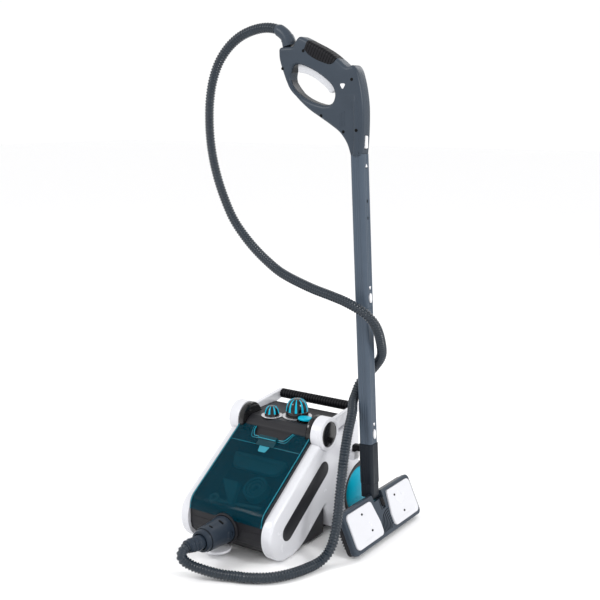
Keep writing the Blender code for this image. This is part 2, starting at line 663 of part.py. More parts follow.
def make_lid():
    rise = tan(SLOPE)
    y, z = LID_TOP
    front, bottom = -0.0380, 0.0860
    drop = LID_THICK / cos(SLOPE)
    outline = rounded((
        (front, bottom, 0), (front, z - rise * (y - front), 0.0350), (y, z, 0),
        (y + 0.0005, z - drop + 0.0003, 0),
        (front + LID_THICK, z - rise * (y - front - LID_THICK) - drop, 0.0320),
        (front + LID_THICK, bottom, 0),
    ))
    lid = plate("YZ", -TUB_HALF, TUB_HALF, outline)
    notch = rounded(((-0.0500, 0.0060, 0), (-0.0470, -0.0120, 0.0040), (-0.0370, -0.0235, 0.0080),
                     (0.0350, -0.0235, 0.0100), (0.0530, 0.0060, 0)))
    boolean(lid, plate("XY", -0.03, 0.03, notch), base="slope")
    boolean(lid, rod("Y", (0, SOCKET_FACE, SOCKET_Z), 0.0345, 0.03, count=32))
    for sign in (-1, 1):
        boolean(lid, rod("X", (sign * 0.0950, *HUB), HUB_RADIUS + 0.0005, 0.0220, count=32))
    keep(lid, "lid_panel", "lid_teal", body="lid")
    latch = plate("YZ", -0.0225, 0.0250, rounded((
        (-0.0560, 0.0004, 0), (-0.0560, 0.0022, 0), (-0.0350, 0.0026, 0.002),
        (-0.0320, 0.0075, 0.0015), (-0.0240, 0.0075, 0.0015), (-0.0237, 0.0004, 0))))
    keep(latch, "lid_latch", "lid_teal", base="slope", body="lid_latch")


def make_deck_controls():
    x, y = STEAM_KNOB
    knob = [(0, DECK_Z + 0.0235), (0.0070, DECK_Z + 0.0228), (0.0125, DECK_Z + 0.0185),
            (0.0160, DECK_Z + 0.0110), (0.0172, DECK_Z + 0.0050), (0.0172, DECK_Z + 0.0024),
            (0.0058, DECK_Z + 0.0024), (0.0058, DECK_Z - 0.0120), (0, DECK_Z - 0.0120)]
    keep(turned(knob, Matrix.Translation((x, y, 0)), count=18), "steam_knob", "black_gloss",
         body="steam_knob")
    x, y = BOILER_CAP
    cap = [(0, DECK_Z + 0.0420), (0.0110, DECK_Z + 0.0405), (0.0190, DECK_Z + 0.0340),
           (0.0235, DECK_Z + 0.0220), (0.0248, DECK_Z + 0.0100), (0.0256, DECK_Z + 0.0024),
           (0.0192, DECK_Z + 0.0024), (0.0192, DECK_Z - 0.0040), (0.0115, DECK_Z - 0.0040),
           (0.0115, DECK_Z - 0.0180), (0.0070, DECK_Z - 0.0240), (0, DECK_Z - 0.0240)]
    keep(turned(cap, Matrix.Translation((x, y, 0)), count=22), "boiler_cap", "black_gloss",
         body="boiler_cap")
    x, y = POWER_BUTTON
    button = plate("XY", DECK_Z + 0.0035, DECK_Z + 0.0090, oval(x, y, 0.0165, 0.0125),
                   rim=0.0040)
    boolean(button, plate("XY", DECK_Z - 0.0130, DECK_Z + 0.0040,
                          oval(x, y, 0.0130, 0.0095, 16)), operation="UNION")
    keep(button, "power_button", "teal_plastic", body="power_button")


def make_plug():
    """Hose plug in the socket, with its release button and its bent boot."""
    start = -SOCKET_FACE + 0.0068 + GAP
    turn = Matrix.Translation((0, 0, SOCKET_Z)) @ Euler((pi / 2, 0, 0)).to_matrix().to_4x4()
    profile = [(0.0060, 0.1200), (0.0205, 0.1200), (0.0235, 0.1170), (0.0242, 0.1100),
               (0.0262, 0.1060), (0.0272, 0.0820), (0.0296, 0.0560), (0.0296, start),
               (0.0190, start), (0.0190, 0.0230), (0.0060, 0.0230)]
    plug = turned(profile, turn, closed=True, count=22)
    x, y, z = PIVOTS["plug_button"][1]
    boolean(plug, rod("X", (x + 0.006, y, z), 0.0087, 0.0220, count=20))
    keep(plug, "hose_plug", "wand_grey")
    button = rod("X", (x + 0.0008, y, z), 0.0087 - GAP, 0.0052, edge=0.001, count=20)
    keep(button, "plug_button", "wand_grey", body="plug_button")


def make_stored_tools():
    """Small tools clipped in the tray, drawn on the lid's slope."""
    squeegee = rounded(((-0.0780, -0.0660, 0.006), (-0.0600, -0.1050, 0.012),
                        (0.0600, -0.1050, 0.020), (0.0680, -0.0640, 0.006)))
    keep(plate("XY", -0.0260, -0.0150, squeegee, rim=0.003), "window_squeegee",
         "lid_teal", base="slope")
    brush = rod("Z", (0.0280, -0.1450, -0.0240), 0.0280, 0.0220, edge=0.004, count=20)
    boolean(brush, rod("Z", (0.0280, -0.1450, -0.0110), 0.0160, 0.0120, count=20), base="slope")
    keep(brush, "round_brush", "wand_grey", base="slope")


# ---------------------------------------------------------------- wand

def rounded_square(side, radius, u=0.0, v=0.0):
    half = side / 2
    return rounded([(u + a * half, v + b * half, radius)
                    for a, b in ((1, 1), (-1, 1), (-1, -1), (1, -1))])


def make_wand_tubes():
    bore = circle(0, 0, 0.0060, 10)
    spans = {
        "lower_tube": (NECK_END + GAP, TUBE_JOINT, "lower_tube_button"),
        "upper_tube": (TUBE_JOINT + GAP, WAND_TOP, "upper_tube_button"),
    }
    for name, (low, high, button) in spans.items():
        piece = plate("XY", low, high, rounded_square(TUBE_SIDE, 0.0070), bore)
        x, _, z = PIVOTS[button][1]
        slot = plate("YZ", x - 0.0050, x + 0.01, oval(0, z, 0.0050, 0.0115, 16))
        boolean(piece, slot, base="wand")
        keep(piece, name, "wand_grey", base="wand", body="wand")
        key = plate("YZ", x - 0.0030, x + 0.0028, oval(0, z, 0.0046, 0.0111, 16),
                    rim=0.0015, segments=1)
        keep(key, button, "white_shell", base="wand", body=button)


def make_neck():
    """Lower fitting of the wand, with the hook that parks it on the canister."""
    neck = plate("XY", 0.0300, NECK_END, rounded_square(0.0345, 0.0075), circle(0, 0, 0.0060, 10))
    arm = box((0.1480, 0.2330, 0.1880), (0.1800, 0.2470, 0.2020), 0.001)
    boolean(neck, arm, operation="UNION")
    tongue = box((0.1480, 0.2335, 0.1700), (0.1545, 0.2465, 0.1990), 0.001)
    boolean(neck, tongue, operation="UNION")
    keep(neck, "wand_neck", "wand_grey", base="wand", body="wand")
    bracket = box((PANEL_OUTER + GAP, 0.2280, 0.1660), (0.1590, 0.2520, 0.1860), 0.0025)
    boolean(bracket, box((0.1468, 0.2323, 0.1680), (0.1560, 0.2477, 0.2100)))
    keep(bracket, "parking_socket", "white_shell")


GUN_OUTLINE = (
    (-0.0430, 1.0655, 0), (-0.0370, 1.0715), (-0.0060, 1.0725, 0), (0.0030, 1.0860),
    (0.0120, 1.0925), (0.0260, 1.0880), (0.0430, 1.0800), (0.0670, 1.0690), (0.0910, 1.0560),
    (0.1140, 1.0400), (0.1310, 1.0280), (0.1450, 1.0300), (0.1545, 1.0220), (0.1615, 1.0040),
    (0.1675, 0.9800), (0.1720, 0.9500), (0.1732, 0.9200), (0.1725, 0.8850), (0.1702, 0.8520),
    (0.1690, 0.8430, 0), (0.1425, 0.8430, 0), (0.1330, 0.8680), (0.1160, 0.8900),
    (0.0930, 0.9060), (0.0640, 0.9230), (0.0350, 0.9400), (0.0050, 0.9640),
    (-0.0180, 0.9900), (-0.0310, 1.0170), (-0.0410, 1.0450),
)
GUN_LOOP = (
    (-0.0110, 1.0180), (-0.0050, 1.0320), (0.0100, 1.0350), (0.0420, 1.0240), (0.0740, 1.0060),
    (0.0950, 0.9880), (0.1020, 0.9700), (0.0960, 0.9530), (0.0820, 0.9480), (0.0640, 0.9500),
    (0.0400, 0.9570), (0.0160, 0.9690), (-0.0030, 0.9850), (-0.0120, 1.0020),
)
TRIGGER_OUTLINE = (
    (0.0020, 1.0210), (0.0060, 1.0180), (0.0220, 1.0150), (0.0410, 1.0075), (0.0600, 0.9960),
    (0.0750, 0.9850), (0.0860, 0.9740), (0.0960, 0.9800), (0.1040, 0.9900), (0.1010, 0.9990),
    (0.0880, 1.0080), (0.0620, 1.0220), (0.0380, 1.0330), (0.0160, 1.0410), (0.0040, 1.0400),
)
TRIGGER_POCKET = (
    (0.0000, 1.0100), (0.0300, 1.0000), (0.0700, 0.9800), (0.0860, 0.9680), (0.1010, 0.9750),
    (0.1090, 0.9900), (0.1050, 1.0040), (0.0900, 1.0140), (0.0640, 1.0330), (0.0380, 1.0440),
    (0.0140, 1.0530), (0.0000, 1.0510),
)
GRIP_OUTLINE = (
    (0.0180, 1.0660, 0), (0.0300, 1.0540), (0.0480, 1.0440), (0.0700, 1.0360), (0.0850, 1.0330),
    (0.0960, 1.0390), (0.1050, 1.0560, 0), (0.0700, 1.0750), (0.0300, 1.0930, 0),
)


def make_gun_shells():
    x, _, z = PIVOTS["trigger_lock"][1]
    lock_hole = lock_outline(x, z, GAP)
    button_x, _, button_z = PIVOTS["gun_button"][1]
    for name, low, high, rim in (
        ("gun_shell_front", GUN_Y - GUN_HALF, GUN_Y - GAP / 2, "low"),
        ("gun_shell_back", GUN_Y + GAP / 2, GUN_Y + GUN_HALF, "high"),
    ):
        rims = ("high",) if rim == "low" else ("low",)
        shell = plate("XZ", low, high, GUN_OUTLINE, GUN_LOOP, rim=0.0045, rims=rims,
                      smooth=True)
        boolean(shell, plate("XZ", GUN_Y - 0.0068, GUN_Y + 0.0068, TRIGGER_POCKET, smooth=True))
        boolean(shell, plate("XZ", GUN_Y - 0.03, GUN_Y + 0.03, lock_hole))
        boolean(shell, box((button_x - 0.0020, GUN_Y - 0.0052, button_z - 0.0142),
                           (button_x + 0.0200, GUN_Y + 0.0052, button_z + 0.0142)))
        boolean(shell, box((0.1270, GUN_Y - 0.0060, 0.8800), (0.1500, GUN_Y + 0.0060, 0.9620)))
        keep(shell, name, "wand_grey", body="wand")
    valve = rod("Z", (0.1385, GUN_Y, 0.9210), 0.0055, 0.0800, count=16)
    keep(valve, "gun_valve", "brass", body="wand")


def lock_outline(x, z, grow):
    """A small triangle with round corners, pointing down."""
    size = 0.0085 + grow
    corners = [(x + size * cos(a), z + size * sin(a), 0.0025)
               for a in (radians(150), radians(270), radians(30))]
    return rounded(corners)


def make_gun_controls():
    trigger = plate("XZ", GUN_Y - 0.0060, GUN_Y + 0.0060, TRIGGER_OUTLINE, rim=0.0015,
                    rims=("high", "low"), segments=1, smooth=True)
    keep(trigger, "trigger", "trigger_grey", body="trigger")
    x, _, z = PIVOTS["trigger_lock"][1]
    lock = plate("XZ", GUN_Y - GUN_HALF - 0.0015, GUN_Y + GUN_HALF - 0.0025,
                 lock_outline(x, z, 0))
    keep(lock, "trigger_lock", "white_shell", body="trigger_lock")
    x, _, z = PIVOTS["gun_button"][1]
    low, high = (x + 0.0012, GUN_Y - 0.0048, z - 0.0138), (x + 0.0110, GUN_Y + 0.0048, z + 0.0138)
    keep(box(low, high, 0.0015), "gun_button", "white_shell", body="gun_button")
    insert = plate("XZ", GUN_Y - GUN_HALF - 0.0010, GUN_Y + GUN_HALF + 0.0010, GRIP_OUTLINE,
                   smooth=True)
    for name in ("gun_shell_front", "gun_shell_back"):
        pocket = plate("XZ", GUN_Y - 0.04, GUN_Y + 0.04, GRIP_OUTLINE, smooth=True)
        boolean(bpy.data.objects[name], pocket)
    core = plate("XZ", GUN_Y - GUN_HALF - 0.0008, GUN_Y + GUN_HALF + 0.0008, GUN_OUTLINE,
                 rim=0.0045, rims=("high", "low"), smooth=True)
    boolean(insert, core, operation="INTERSECT")
    shrink = Vector((0.0620, 0, 1.0600))
    scale = Matrix.Diagonal((0.994, 1, 0.990, 1))
    insert.data.transform(Matrix.Translation(shrink) @ scale @ Matrix.Translation(-shrink))
    keep(insert, "grip_insert", "black_rubber", body="wand")


def make_hose():
    """One smooth route, shared by the plug's boot, the free hose and the gun's cuff."""
    fine = smooth_route(HOSE_ROUTE, 6000)
    step = (fine[1] - fine[0]).length
    start = round(BOOT_LENGTH / step)
    end = len(fine) - round(CUFF_LENGTH / step)
    bend = start + round(HOSE_BEND / step)
    boot = [*spaced(fine[:start - 7], 14), fine[start - 5]]
    hose = [fine[start], *spaced(fine[start + 2:bend], 11),
            *spaced(fine[bend + 30:end - 2], HOSE_POINTS - 13), fine[end]]
    cuff = [fine[end + 5], *spaced(fine[end + 7:], 8)]
    keep(tube(boot, 0.0165, 3, 0.85), "plug_boot", "wand_grey")
    keep(tube(hose, HOSE_RADIUS), "hose", "hose_grey")
    keep(tube(cuff[::-1], 0.0145, 3, 0.93), "hose_cuff", "wand_grey", body="wand")


# ---------------------------------------------------------------- floor head

def make_knuckle():
    """Swivel piece between the neck and the head's hinge barrel."""
    knuckle = plate("XY", -0.0010, 0.0300 - GAP, rounded_square(0.0280, 0.0060))
    x, y, z = PIVOTS["head"][1]
    barrel = rod("Y", (x, y, z), 0.0080, 0.0400, count=16)
    boolean(knuckle, barrel, base="head", operation="UNION")
    keep(knuckle, "head_knuckle", "wand_grey", base="wand", body="swivel")


def flap_outline(sign, grow=0.0):
    """White clamp cover, straight at its outer end and bowed towards the middle."""
    inner, outer = 0.0250 - grow, 0.1370 + grow
    top, bottom = -0.0080 + grow, -0.0880 - grow
    corners = [(sign * outer, top, 0.0100), (sign * (inner + 0.0110), top, 0.0080),
               (sign * inner, -0.0600, 0.0300), (sign * (inner + 0.0010), bottom, 0.0100),
               (sign * outer, bottom, 0.0120)]
    return rounded(corners if sign > 0 else corners[::-1])


def head_rim(inset, radius=0.0120):
    half = HEAD_LENGTH / 2 - inset
    return rounded(((half, -inset, radius), (-half, -inset, radius),
                    (-half, inset - HEAD_HEIGHT, radius), (half, inset - HEAD_HEIGHT, radius)))


def make_head():
    x, _, z = PIVOTS["head"][1]
    notch_low, notch_high = (-0.05, -0.0205, z - 0.0105), (0.0015, 0.0205, 0.02)
    shell = plate("YZ", -HEAD_FACE, 0, head_rim(0), rim=0.0030)
    boolean(shell, box(notch_low, notch_high), base="head")
    for sign in (-1, 1):
        boolean(shell, plate("YZ", -0.0060, 0.02, flap_outline(sign, 0.0006)), base="head")
    boolean(shell, box((-0.0040, 0.0030, -0.0400), (0.01, 0.0170, -0.0160)), base="head")
    keep(shell, "head_shell", "wand_grey", base="head", body="head")
    base = plate("YZ", -HEAD_BACK, -HEAD_FACE - GAP, head_rim(0.0015))
    boolean(base, box(notch_low, notch_high), base="head")
    keep(base, "head_base", "charcoal_body", base="head", body="head")
    field = plate("YZ", -HEAD_BACK - 0.0130, -HEAD_BACK - GAP, head_rim(0.0135, 0.006),
                  head_rim(0.0300, 0.004))
    keep(field, "bristle_field", "bristle_black", base="head", body="head")
    for sign, name in ((-1, "flap_left"), (1, "flap_right")):
        flap = plate("YZ", -0.0060 + GAP, 0.0042, flap_outline(sign), rim=0.0025)
        keep(flap, name, "white_shell", base="head", body=name)
    slider = box((-0.0036, 0.0036, -0.0340), (0.0022, 0.0164, -0.0166), 0.0008)
    keep(slider, "head_slider", "black_gloss", base="head", body="head_slider")


def build():
    clear_scene()
    make_collections()
    make_materials()
    make_frames()
    make_tub()
    make_side_panels()
    make_side_inlays()
    make_deck()
    make_bezel()
    make_hub_collars()
    make_tray()
    make_boiler()
    make_electrics()
    make_hose_socket()
    make_wheels()
    make_caster()
    make_handle()
    make_lid()
    make_deck_controls()
    make_plug()
    make_stored_tools()
    make_wand_tubes()
    make_neck()
    make_gun_shells()
    make_gun_controls()
    make_hose()
    make_knuckle()
    make_head()


build()
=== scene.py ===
# Canister steam cleaner with its wand parked beside it.
# Pieces are drawn in the axes of the canister, the lid's slope, the wand or the floor head.
import json
import math

import bmesh
import bpy
from mathutils import Euler, Matrix, Vector


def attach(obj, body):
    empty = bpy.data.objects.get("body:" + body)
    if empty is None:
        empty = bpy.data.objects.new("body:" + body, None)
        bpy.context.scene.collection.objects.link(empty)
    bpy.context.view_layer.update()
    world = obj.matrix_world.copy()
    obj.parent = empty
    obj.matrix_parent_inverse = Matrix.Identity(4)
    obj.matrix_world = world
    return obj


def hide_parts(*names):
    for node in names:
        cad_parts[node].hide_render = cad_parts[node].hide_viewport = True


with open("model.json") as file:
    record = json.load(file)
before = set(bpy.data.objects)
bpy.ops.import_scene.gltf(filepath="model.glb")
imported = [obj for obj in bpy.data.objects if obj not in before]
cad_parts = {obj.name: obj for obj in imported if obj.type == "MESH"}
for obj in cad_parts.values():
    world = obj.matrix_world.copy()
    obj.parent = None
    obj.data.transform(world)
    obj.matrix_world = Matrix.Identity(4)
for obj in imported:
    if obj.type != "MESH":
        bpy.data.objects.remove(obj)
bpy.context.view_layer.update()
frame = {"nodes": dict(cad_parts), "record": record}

shift = Matrix.Translation
canisterAt = Vector((-0.0609, -0.1589, 0.0))
slopeAt = (0, 0.143, 0.2325)
slopeAngle = math.radians(34.6)
axes = {"world": Matrix.Identity(4), "canister": shift(canisterAt)}
axes["slope"] = (axes["canister"] @ shift(slopeAt) @ Matrix.Rotation(slopeAngle, 4, "X"))
axes["wand"] = (axes["canister"] @ shift((0.194, 0.24, 0.09))
                @ Matrix.Rotation(math.radians(-2.86), 4, "Y"))
axes["head"] = (axes["canister"] @ shift((0.2094, 0.24, 0.099))
                @ Matrix.Rotation(math.radians(-24.4), 4, "Y"))


# selection and finishing

def deselectAll():
    if bpy.context.object and bpy.context.object.mode != "OBJECT":
        bpy.ops.object.mode_set(mode="OBJECT")
    bpy.ops.object.select_all(action="DESELECT")


def pick(piece):
    deselectAll()
    piece.select_set(True)
    bpy.context.view_layer.objects.active = piece
    return piece


def applyModifiers(piece):
    pick(piece)
    for modifier in list(piece.modifiers):
        bpy.ops.object.modifier_apply(modifier=modifier.name)
    return piece


def softenEdges(piece, width, segments, angle=32):
    bevel = piece.modifiers.new("soft edges", "BEVEL")
    bevel.width = width
    bevel.segments = segments
    bevel.limit_method = "ANGLE"
    bevel.angle_limit = math.radians(angle)
    bevel.use_clamp_overlap = True
    return applyModifiers(piece)


def cut(piece, cutter, operation="DIFFERENCE"):
    knife = piece.modifiers.new("cut", "BOOLEAN")
    knife.operation = operation
    knife.object = cutter
    knife.solver = "EXACT"
    applyModifiers(piece)
    bpy.data.objects.remove(cutter, do_unlink=True)
    return piece


def join(pieces):
    deselectAll()
    for piece in pieces:
        piece.select_set(True)
    bpy.context.view_layer.objects.active = pieces[0]
    if len(pieces) > 1:
        bpy.ops.object.join()
    return pieces[0]


def linked(name, data):
    piece = bpy.data.objects.new(name, data)
    bpy.context.scene.collection.objects.link(piece)
    return piece


def moved(piece, matrix):
    piece.data.transform(matrix)
    return piece


def copyOf(piece, matrix):
    return moved(linked("copy", piece.data.copy()), matrix)


def mirroredCopy(piece):
    twin = copyOf(piece, Matrix.Scale(-1, 4, (1, 0, 0)))
    twin.data.flip_normals()
    return twin


# merge doubled points and turn the faces outwards
def mergeDoubles(flatten=False):
    bpy.ops.object.mode_set(mode="EDIT")
    bpy.ops.mesh.select_all(action="SELECT")
    bpy.ops.mesh.remove_doubles(threshold=0.00001)
    if flatten:
        bpy.ops.mesh.dissolve_limited(angle_limit=math.radians(0.5))
    bpy.ops.mesh.normals_make_consistent(inside=False)
    bpy.ops.object.mode_set(mode="OBJECT")


# put a finished piece in place, on its body, with its finish
def finishPiece(piece, name, body, material, base="canister", node="", angle=38):
    piece.name = name
    piece.data.name = name
    piece.matrix_world = axes[base] @ piece.matrix_world
    pick(piece)
    bpy.ops.object.transform_apply(location=True, rotation=True, scale=True)
    bpy.ops.object.shade_smooth_by_angle(angle=math.radians(angle))
    piece.data.materials.clear()
    piece.data.materials.append(finishes[material])
    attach(piece, body)
    if node:
        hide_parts(node)


# a right-hand piece and its mirror image; node is the start that both nodes' names share
def finishPair(piece, name, body, material, node="", angle=38):
    for side, half in (("Right", piece), ("Left", mirroredCopy(piece))):
        finishPiece(half, name + side, body, material, node=node and node + side.lower(),
                    angle=angle)


# shapes

planes = {"YZ": Euler((math.pi / 2, 0, math.pi / 2)), "XZ": Euler((math.pi / 2, 0, 0)),
          "XY": Euler((0, 0, 0))}


# the smooth curve through a, b, c and d, at t on its way from b to c
def between(a, b, c, d, t):
    return 0.5 * (2 * b + (c - a) * t + (2 * a - 5 * b + 4 * c - d) * t ** 2
                  + (3 * b - a - 3 * c + d) * t ** 3)


def smoothLine(knots, steps=12):
    knots = [Vector(k) for k in knots]
    ends = [2 * knots[0] - knots[1], *knots, 2 * knots[-1] - knots[-2]]
    line = [between(*four, step / steps) for four in zip(ends, ends[1:], ends[2:], ends[3:])
            for step in range(steps)]
    return [*line, knots[-1]]


# a closed smooth line; a point with a third number is a sharp corner
def smoothOutline(points):
    line, steps, count = [], 8, len(points)
    for index in range(count):
        a, b, c, d = (Vector(points[(index + k) % count][:2]) for k in (-1, 0, 1, 2))
        if len(points[index]) == 3:
            a = 2 * b - c
        if len(points[(index + 1) % count]) == 3:
            d = 2 * c - b
        line += [between(a, b, c, d, step / steps) for step in range(steps)]
    return line


# a closed line of corners (u, v, radius)
def outline(corners):
    line = []
    for index, (u, v, radius) in enumerate(corners):
        here = Vector((u, v))
        before = (Vector(corners[index - 1][:2]) - here).normalized()
        after = (Vector(corners[(index + 1) % len(corners)][:2]) - here).normalized()
        half = before.angle(after) / 2
        if radius <= 0:
            line.append(here)
            continue
        first = before * radius / math.tan(half)
        centre = here + (before + after).normalized() * radius / math.sin(half)
        sweep = math.pi - 2 * half
        turn = 1 if before.cross(after) < 0 else -1
        facets = max(3, math.ceil(sweep / math.radians(7)))
        for step in range(facets + 1):
            spoke = Matrix.Rotation(turn * sweep * step / facets, 2) @ (here + first - centre)
            line.append(centre + spoke)
    return line


def oval(u, v, halfU, halfV, count=48):
    return [Vector((u + halfU * math.cos(2 * math.pi * k / count),
                    v + halfV * math.sin(2 * math.pi * k / count))) for k in range(count)]


# a plate of one outline with holes, between two depths; rounding turns its rims
def plate(plane, low, high, lines, rounding=0.0, bend=4):
    sketch = bpy.data.curves.new("sketch", "CURVE")
    sketch.dimensions = "2D"
    sketch.fill_mode = "BOTH"
    sketch.extrude = (high - low) / 2 - rounding
    sketch.bevel_depth = rounding
    sketch.bevel_resolution = bend
    sketch.offset = -rounding
    for line in lines:
        spline = sketch.splines.new("POLY")
        spline.points.add(len(line) - 1)
        for point, place in zip(spline.points, line):
            point.co = (place[0], place[1], 0, 1)
        spline.use_cyclic_u = True
    pick(linked("plate", sketch))
    bpy.ops.object.convert(target="MESH")
    middle = (high + low) / 2 * (-1 if plane == "XZ" else 1)
    piece = moved(bpy.context.object, planes[plane].to_matrix().to_4x4() @ shift((0, 0, middle)))
    mergeDoubles(flatten=not rounding)
    return piece


def slab(plane, low, high, *lines, edge=0.0):
    piece = plate(plane, low, high, lines)
    return softenEdges(piece, edge, 3, 50) if edge else piece


def grown(plane, low, high, *lines, edge, bend=4):
    return plate(plane, low, high, lines, edge, bend)


def block(low, high, edge=0.0, segments=3):
    deselectAll()
    low, high = Vector(low), Vector(high)
    bpy.ops.mesh.primitive_cube_add(size=1, location=(low + high) / 2)
    piece = bpy.context.object
    piece.scale = high - low
    bpy.ops.object.transform_apply(location=True, rotation=True, scale=True)
    return softenEdges(piece, edge, segments) if edge else piece


def rod(axis, centre, radius, length, edge=0.0, count=48):
    deselectAll()
    turn = {"X": (0, math.pi / 2, 0), "Y": (math.pi / 2, 0, 0), "Z": (0, 0, 0)}[axis]
    bpy.ops.mesh.primitive_cylinder_add(vertices=count, radius=radius, depth=length,
                                        location=centre, rotation=turn)
    piece = bpy.context.object
    bpy.ops.object.transform_apply(location=True, rotation=True, scale=True)
    return softenEdges(piece, edge, 3, 50) if edge else piece


# a closed profile of (radius, height), turned about Z
def turned(profile, place, count):
    mesh = bpy.data.meshes.new("turned")
    edges = [(k, (k + 1) % len(profile)) for k in range(len(profile))]
    mesh.from_pydata([(radius, 0, height) for radius, height in profile], edges, [])
    piece = linked("turned", mesh)
    screw = piece.modifiers.new("turn", "SCREW")
    screw.steps = screw.render_steps = count
    screw.use_merge_vertices = True
    screw.merge_threshold = 0.00001
    applyModifiers(piece)
    mergeDoubles()
    return moved(piece, place)


# a profile's outer line, rounded
def smoothProfile(profile):
    return [(max(p.x, 0.0), p.y) for p in smoothLine(profile, 6)]


# evenly spaced points along a fine line
def spaced(line, count):
    lengths = [0.0]
    for a, b in zip(line, line[1:]):
        lengths.append(lengths[-1] + (b - a).length)
    points, index = [], 0
    for k in range(count):
        goal = lengths[-1] * k / (count - 1)
        while index < len(line) - 2 and lengths[index + 1] < goal:
            index += 1
        share = (goal - lengths[index]) / (lengths[index + 1] - lengths[index])
        points.append(line[index].lerp(line[index + 1], min(share, 1.0)))
    return points, lengths[-1]


# a closed tube along points; radiusAt gives its radius from the length so far
def sweptTube(points, radiusAt, sides):
    mesh = bpy.data.meshes.new("tube")
    work = bmesh.new()
    lean = Vector((0, 0, 1))
    gone, rings = 0.0, []
    for index, here in enumerate(points):
        before, after = points[max(index - 1, 0)], points[min(index + 1, len(points) - 1)]
        along = (after - before).normalized()
        side = lean.cross(along)
        side = side.normalized() if side.length > 1e-6 else Vector((1, 0, 0))
        lean = along.cross(side).normalized()
        if index:
            gone += (here - points[index - 1]).length
        radius = radiusAt(gone)
        rings.append([work.verts.new(here + side * radius * math.cos(a)
                                     + lean * radius * math.sin(a))
                      for a in (2 * math.pi * k / sides for k in range(sides))])
    for one, two in zip(rings, rings[1:]):
        for k in range(sides):
            work.faces.new((one[k], one[(k + 1) % sides], two[(k + 1) % sides], two[k]))
    work.faces.new(rings[0][::-1])
    work.faces.new(rings[-1])
    bmesh.ops.recalc_face_normals(work, faces=work.faces)
    work.to_mesh(mesh)
    work.free()
    return linked("tube", mesh)


# finishes

finishes = {}


# moulded or metal surface: faint cloudy colour, uneven gloss and a fine grain
def finish(name, colour, roughness, spread=0.04, grain=0.02, grainScale=2200, metallic=0.0,
           coat=0.0, wear=0.06, alpha=1.0, sheen=0.0, specular=0.5):
    material = bpy.data.materials.new(name)
    material.use_nodes = True
    nodes, links = material.node_tree.nodes, material.node_tree.links
    shader = nodes["Principled BSDF"]
    for socket, value in (("Metallic", metallic), ("Coat Weight", coat), ("Coat Roughness", 0.08),
                          ("Alpha", alpha), ("Sheen Weight", sheen),
                          ("Specular IOR Level", specular)):
        shader.inputs[socket].default_value = value
    place = nodes.new("ShaderNodeTexCoord")
    cloud = nodes.new("ShaderNodeTexNoise")
    cloud.inputs["Scale"].default_value = 24
    cloud.inputs["Detail"].default_value = 3
    tint = nodes.new("ShaderNodeValToRGB")
    for stop, position, share in zip(tint.color_ramp.elements, (0.3, 0.72),
                                     (1 - spread, 1 + spread)):
        stop.position = position
        stop.color = (*(min(max(c * share, 0), 1) for c in colour), 1)
    gloss = nodes.new("ShaderNodeMapRange")
    gloss.inputs["To Min"].default_value = max(roughness - wear, 0.02)
    gloss.inputs["To Max"].default_value = roughness + wear
    speck = nodes.new("ShaderNodeTexNoise")
    speck.inputs["Scale"].default_value = grainScale
    speck.inputs["Detail"].default_value = 2
    bump = nodes.new("ShaderNodeBump")
    bump.inputs["Strength"].default_value = grain
    bump.inputs["Distance"].default_value = 0.0004
    for source, output, target, entry in (
            (place, "Object", cloud, "Vector"), (place, "Object", speck, "Vector"),
            (cloud, "Fac", tint, "Fac"), (tint, "Color", shader, "Base Color"),
            (cloud, "Fac", gloss, "Value"), (gloss, "Result", shader, "Roughness"),
            (speck, "Fac", bump, "Height"), (bump, "Normal", shader, "Normal")):
        links.new(source.outputs[output], target.inputs[entry])
    finishes[name] = material


def makeFinishes():
    finish("whiteGloss", (0.64, 0.645, 0.68), 0.26, spread=0.012, coat=0.25, grain=0.01)
    finish("charcoalSatin", (0.015, 0.015, 0.018), 0.44, grain=0.08, grainScale=2600, specular=0.22)
    finish("blackGloss", (0.006, 0.006, 0.007), 0.14, coat=0.1, grain=0.01, specular=0.35)
    finish("inlaySatin", (0.016, 0.016, 0.019), 0.34, specular=0.28)
    finish("tealSatin", (0.0005, 0.4, 0.57), 0.32, specular=0.2)
    # lighter teal for painted highlights along the lid's and the latch's edges
    finish("tealEdgeHighlight", (0.008, 0.26, 0.35), 0.2, grain=0.0)
    finish("lidTint", (0.0003, 0.03, 0.048), 0.12, spread=0.1, grain=0.0, wear=0.03,
           alpha=0.56, specular=0.08)
    finish("latchTeal", (0.002, 0.036, 0.05), 0.3, grain=0.01, specular=0.2)
    finish("toolTeal", (0.01, 0.23, 0.31), 0.35)
    finish("toolGrey", (0.08, 0.3, 0.36), 0.4)
    finish("silverPlate", (0.6, 0.6, 0.62), 0.26, metallic=0.7)
    finish("wandSatin", (0.033, 0.045, 0.062), 0.36, specular=0.24)
    finish("tubeSatin", (0.058, 0.079, 0.108), 0.34, specular=0.26)
    finish("plugSatin", (0.017, 0.026, 0.04), 0.36, specular=0.22)
    finish("neckSatin", (0.008, 0.012, 0.018), 0.36, specular=0.2)
    finish("hoseRibbed", (0.012, 0.02, 0.03), 0.26, spread=0.1, specular=0.42)
    finish("gripRubber", (0.006, 0.006, 0.008), 0.5, grain=0.08, specular=0.16)
    finish("tyreRubber", (0.02, 0.02, 0.021), 0.7, grain=0.2, sheen=0.1)
    finish("buttonWhite", (0.74, 0.74, 0.76), 0.3, spread=0.01, grain=0.01)
    finish("triggerGrey", (0.58, 0.59, 0.62), 0.3, spread=0.015, grain=0.01)
    finish("bristles", (0.012, 0.012, 0.013), 0.75, grain=0.2)
    finish("steelBrushed", (0.6, 0.6, 0.62), 0.3, metallic=1.0, grain=0.04)
    finish("brassTurned", (0.66, 0.47, 0.2), 0.28, metallic=1.0, grain=0.04)
    finish("greenBoard", (0.015, 0.16, 0.07), 0.45, grain=0.04)
    # near-black painted shade, laid into gaps, slots, screw holes and grooves in place of the shade
    # inside them
    finish("paintedGapShade", (0.001, 0.001, 0.001), 0.6, grain=0.0, specular=0.1)


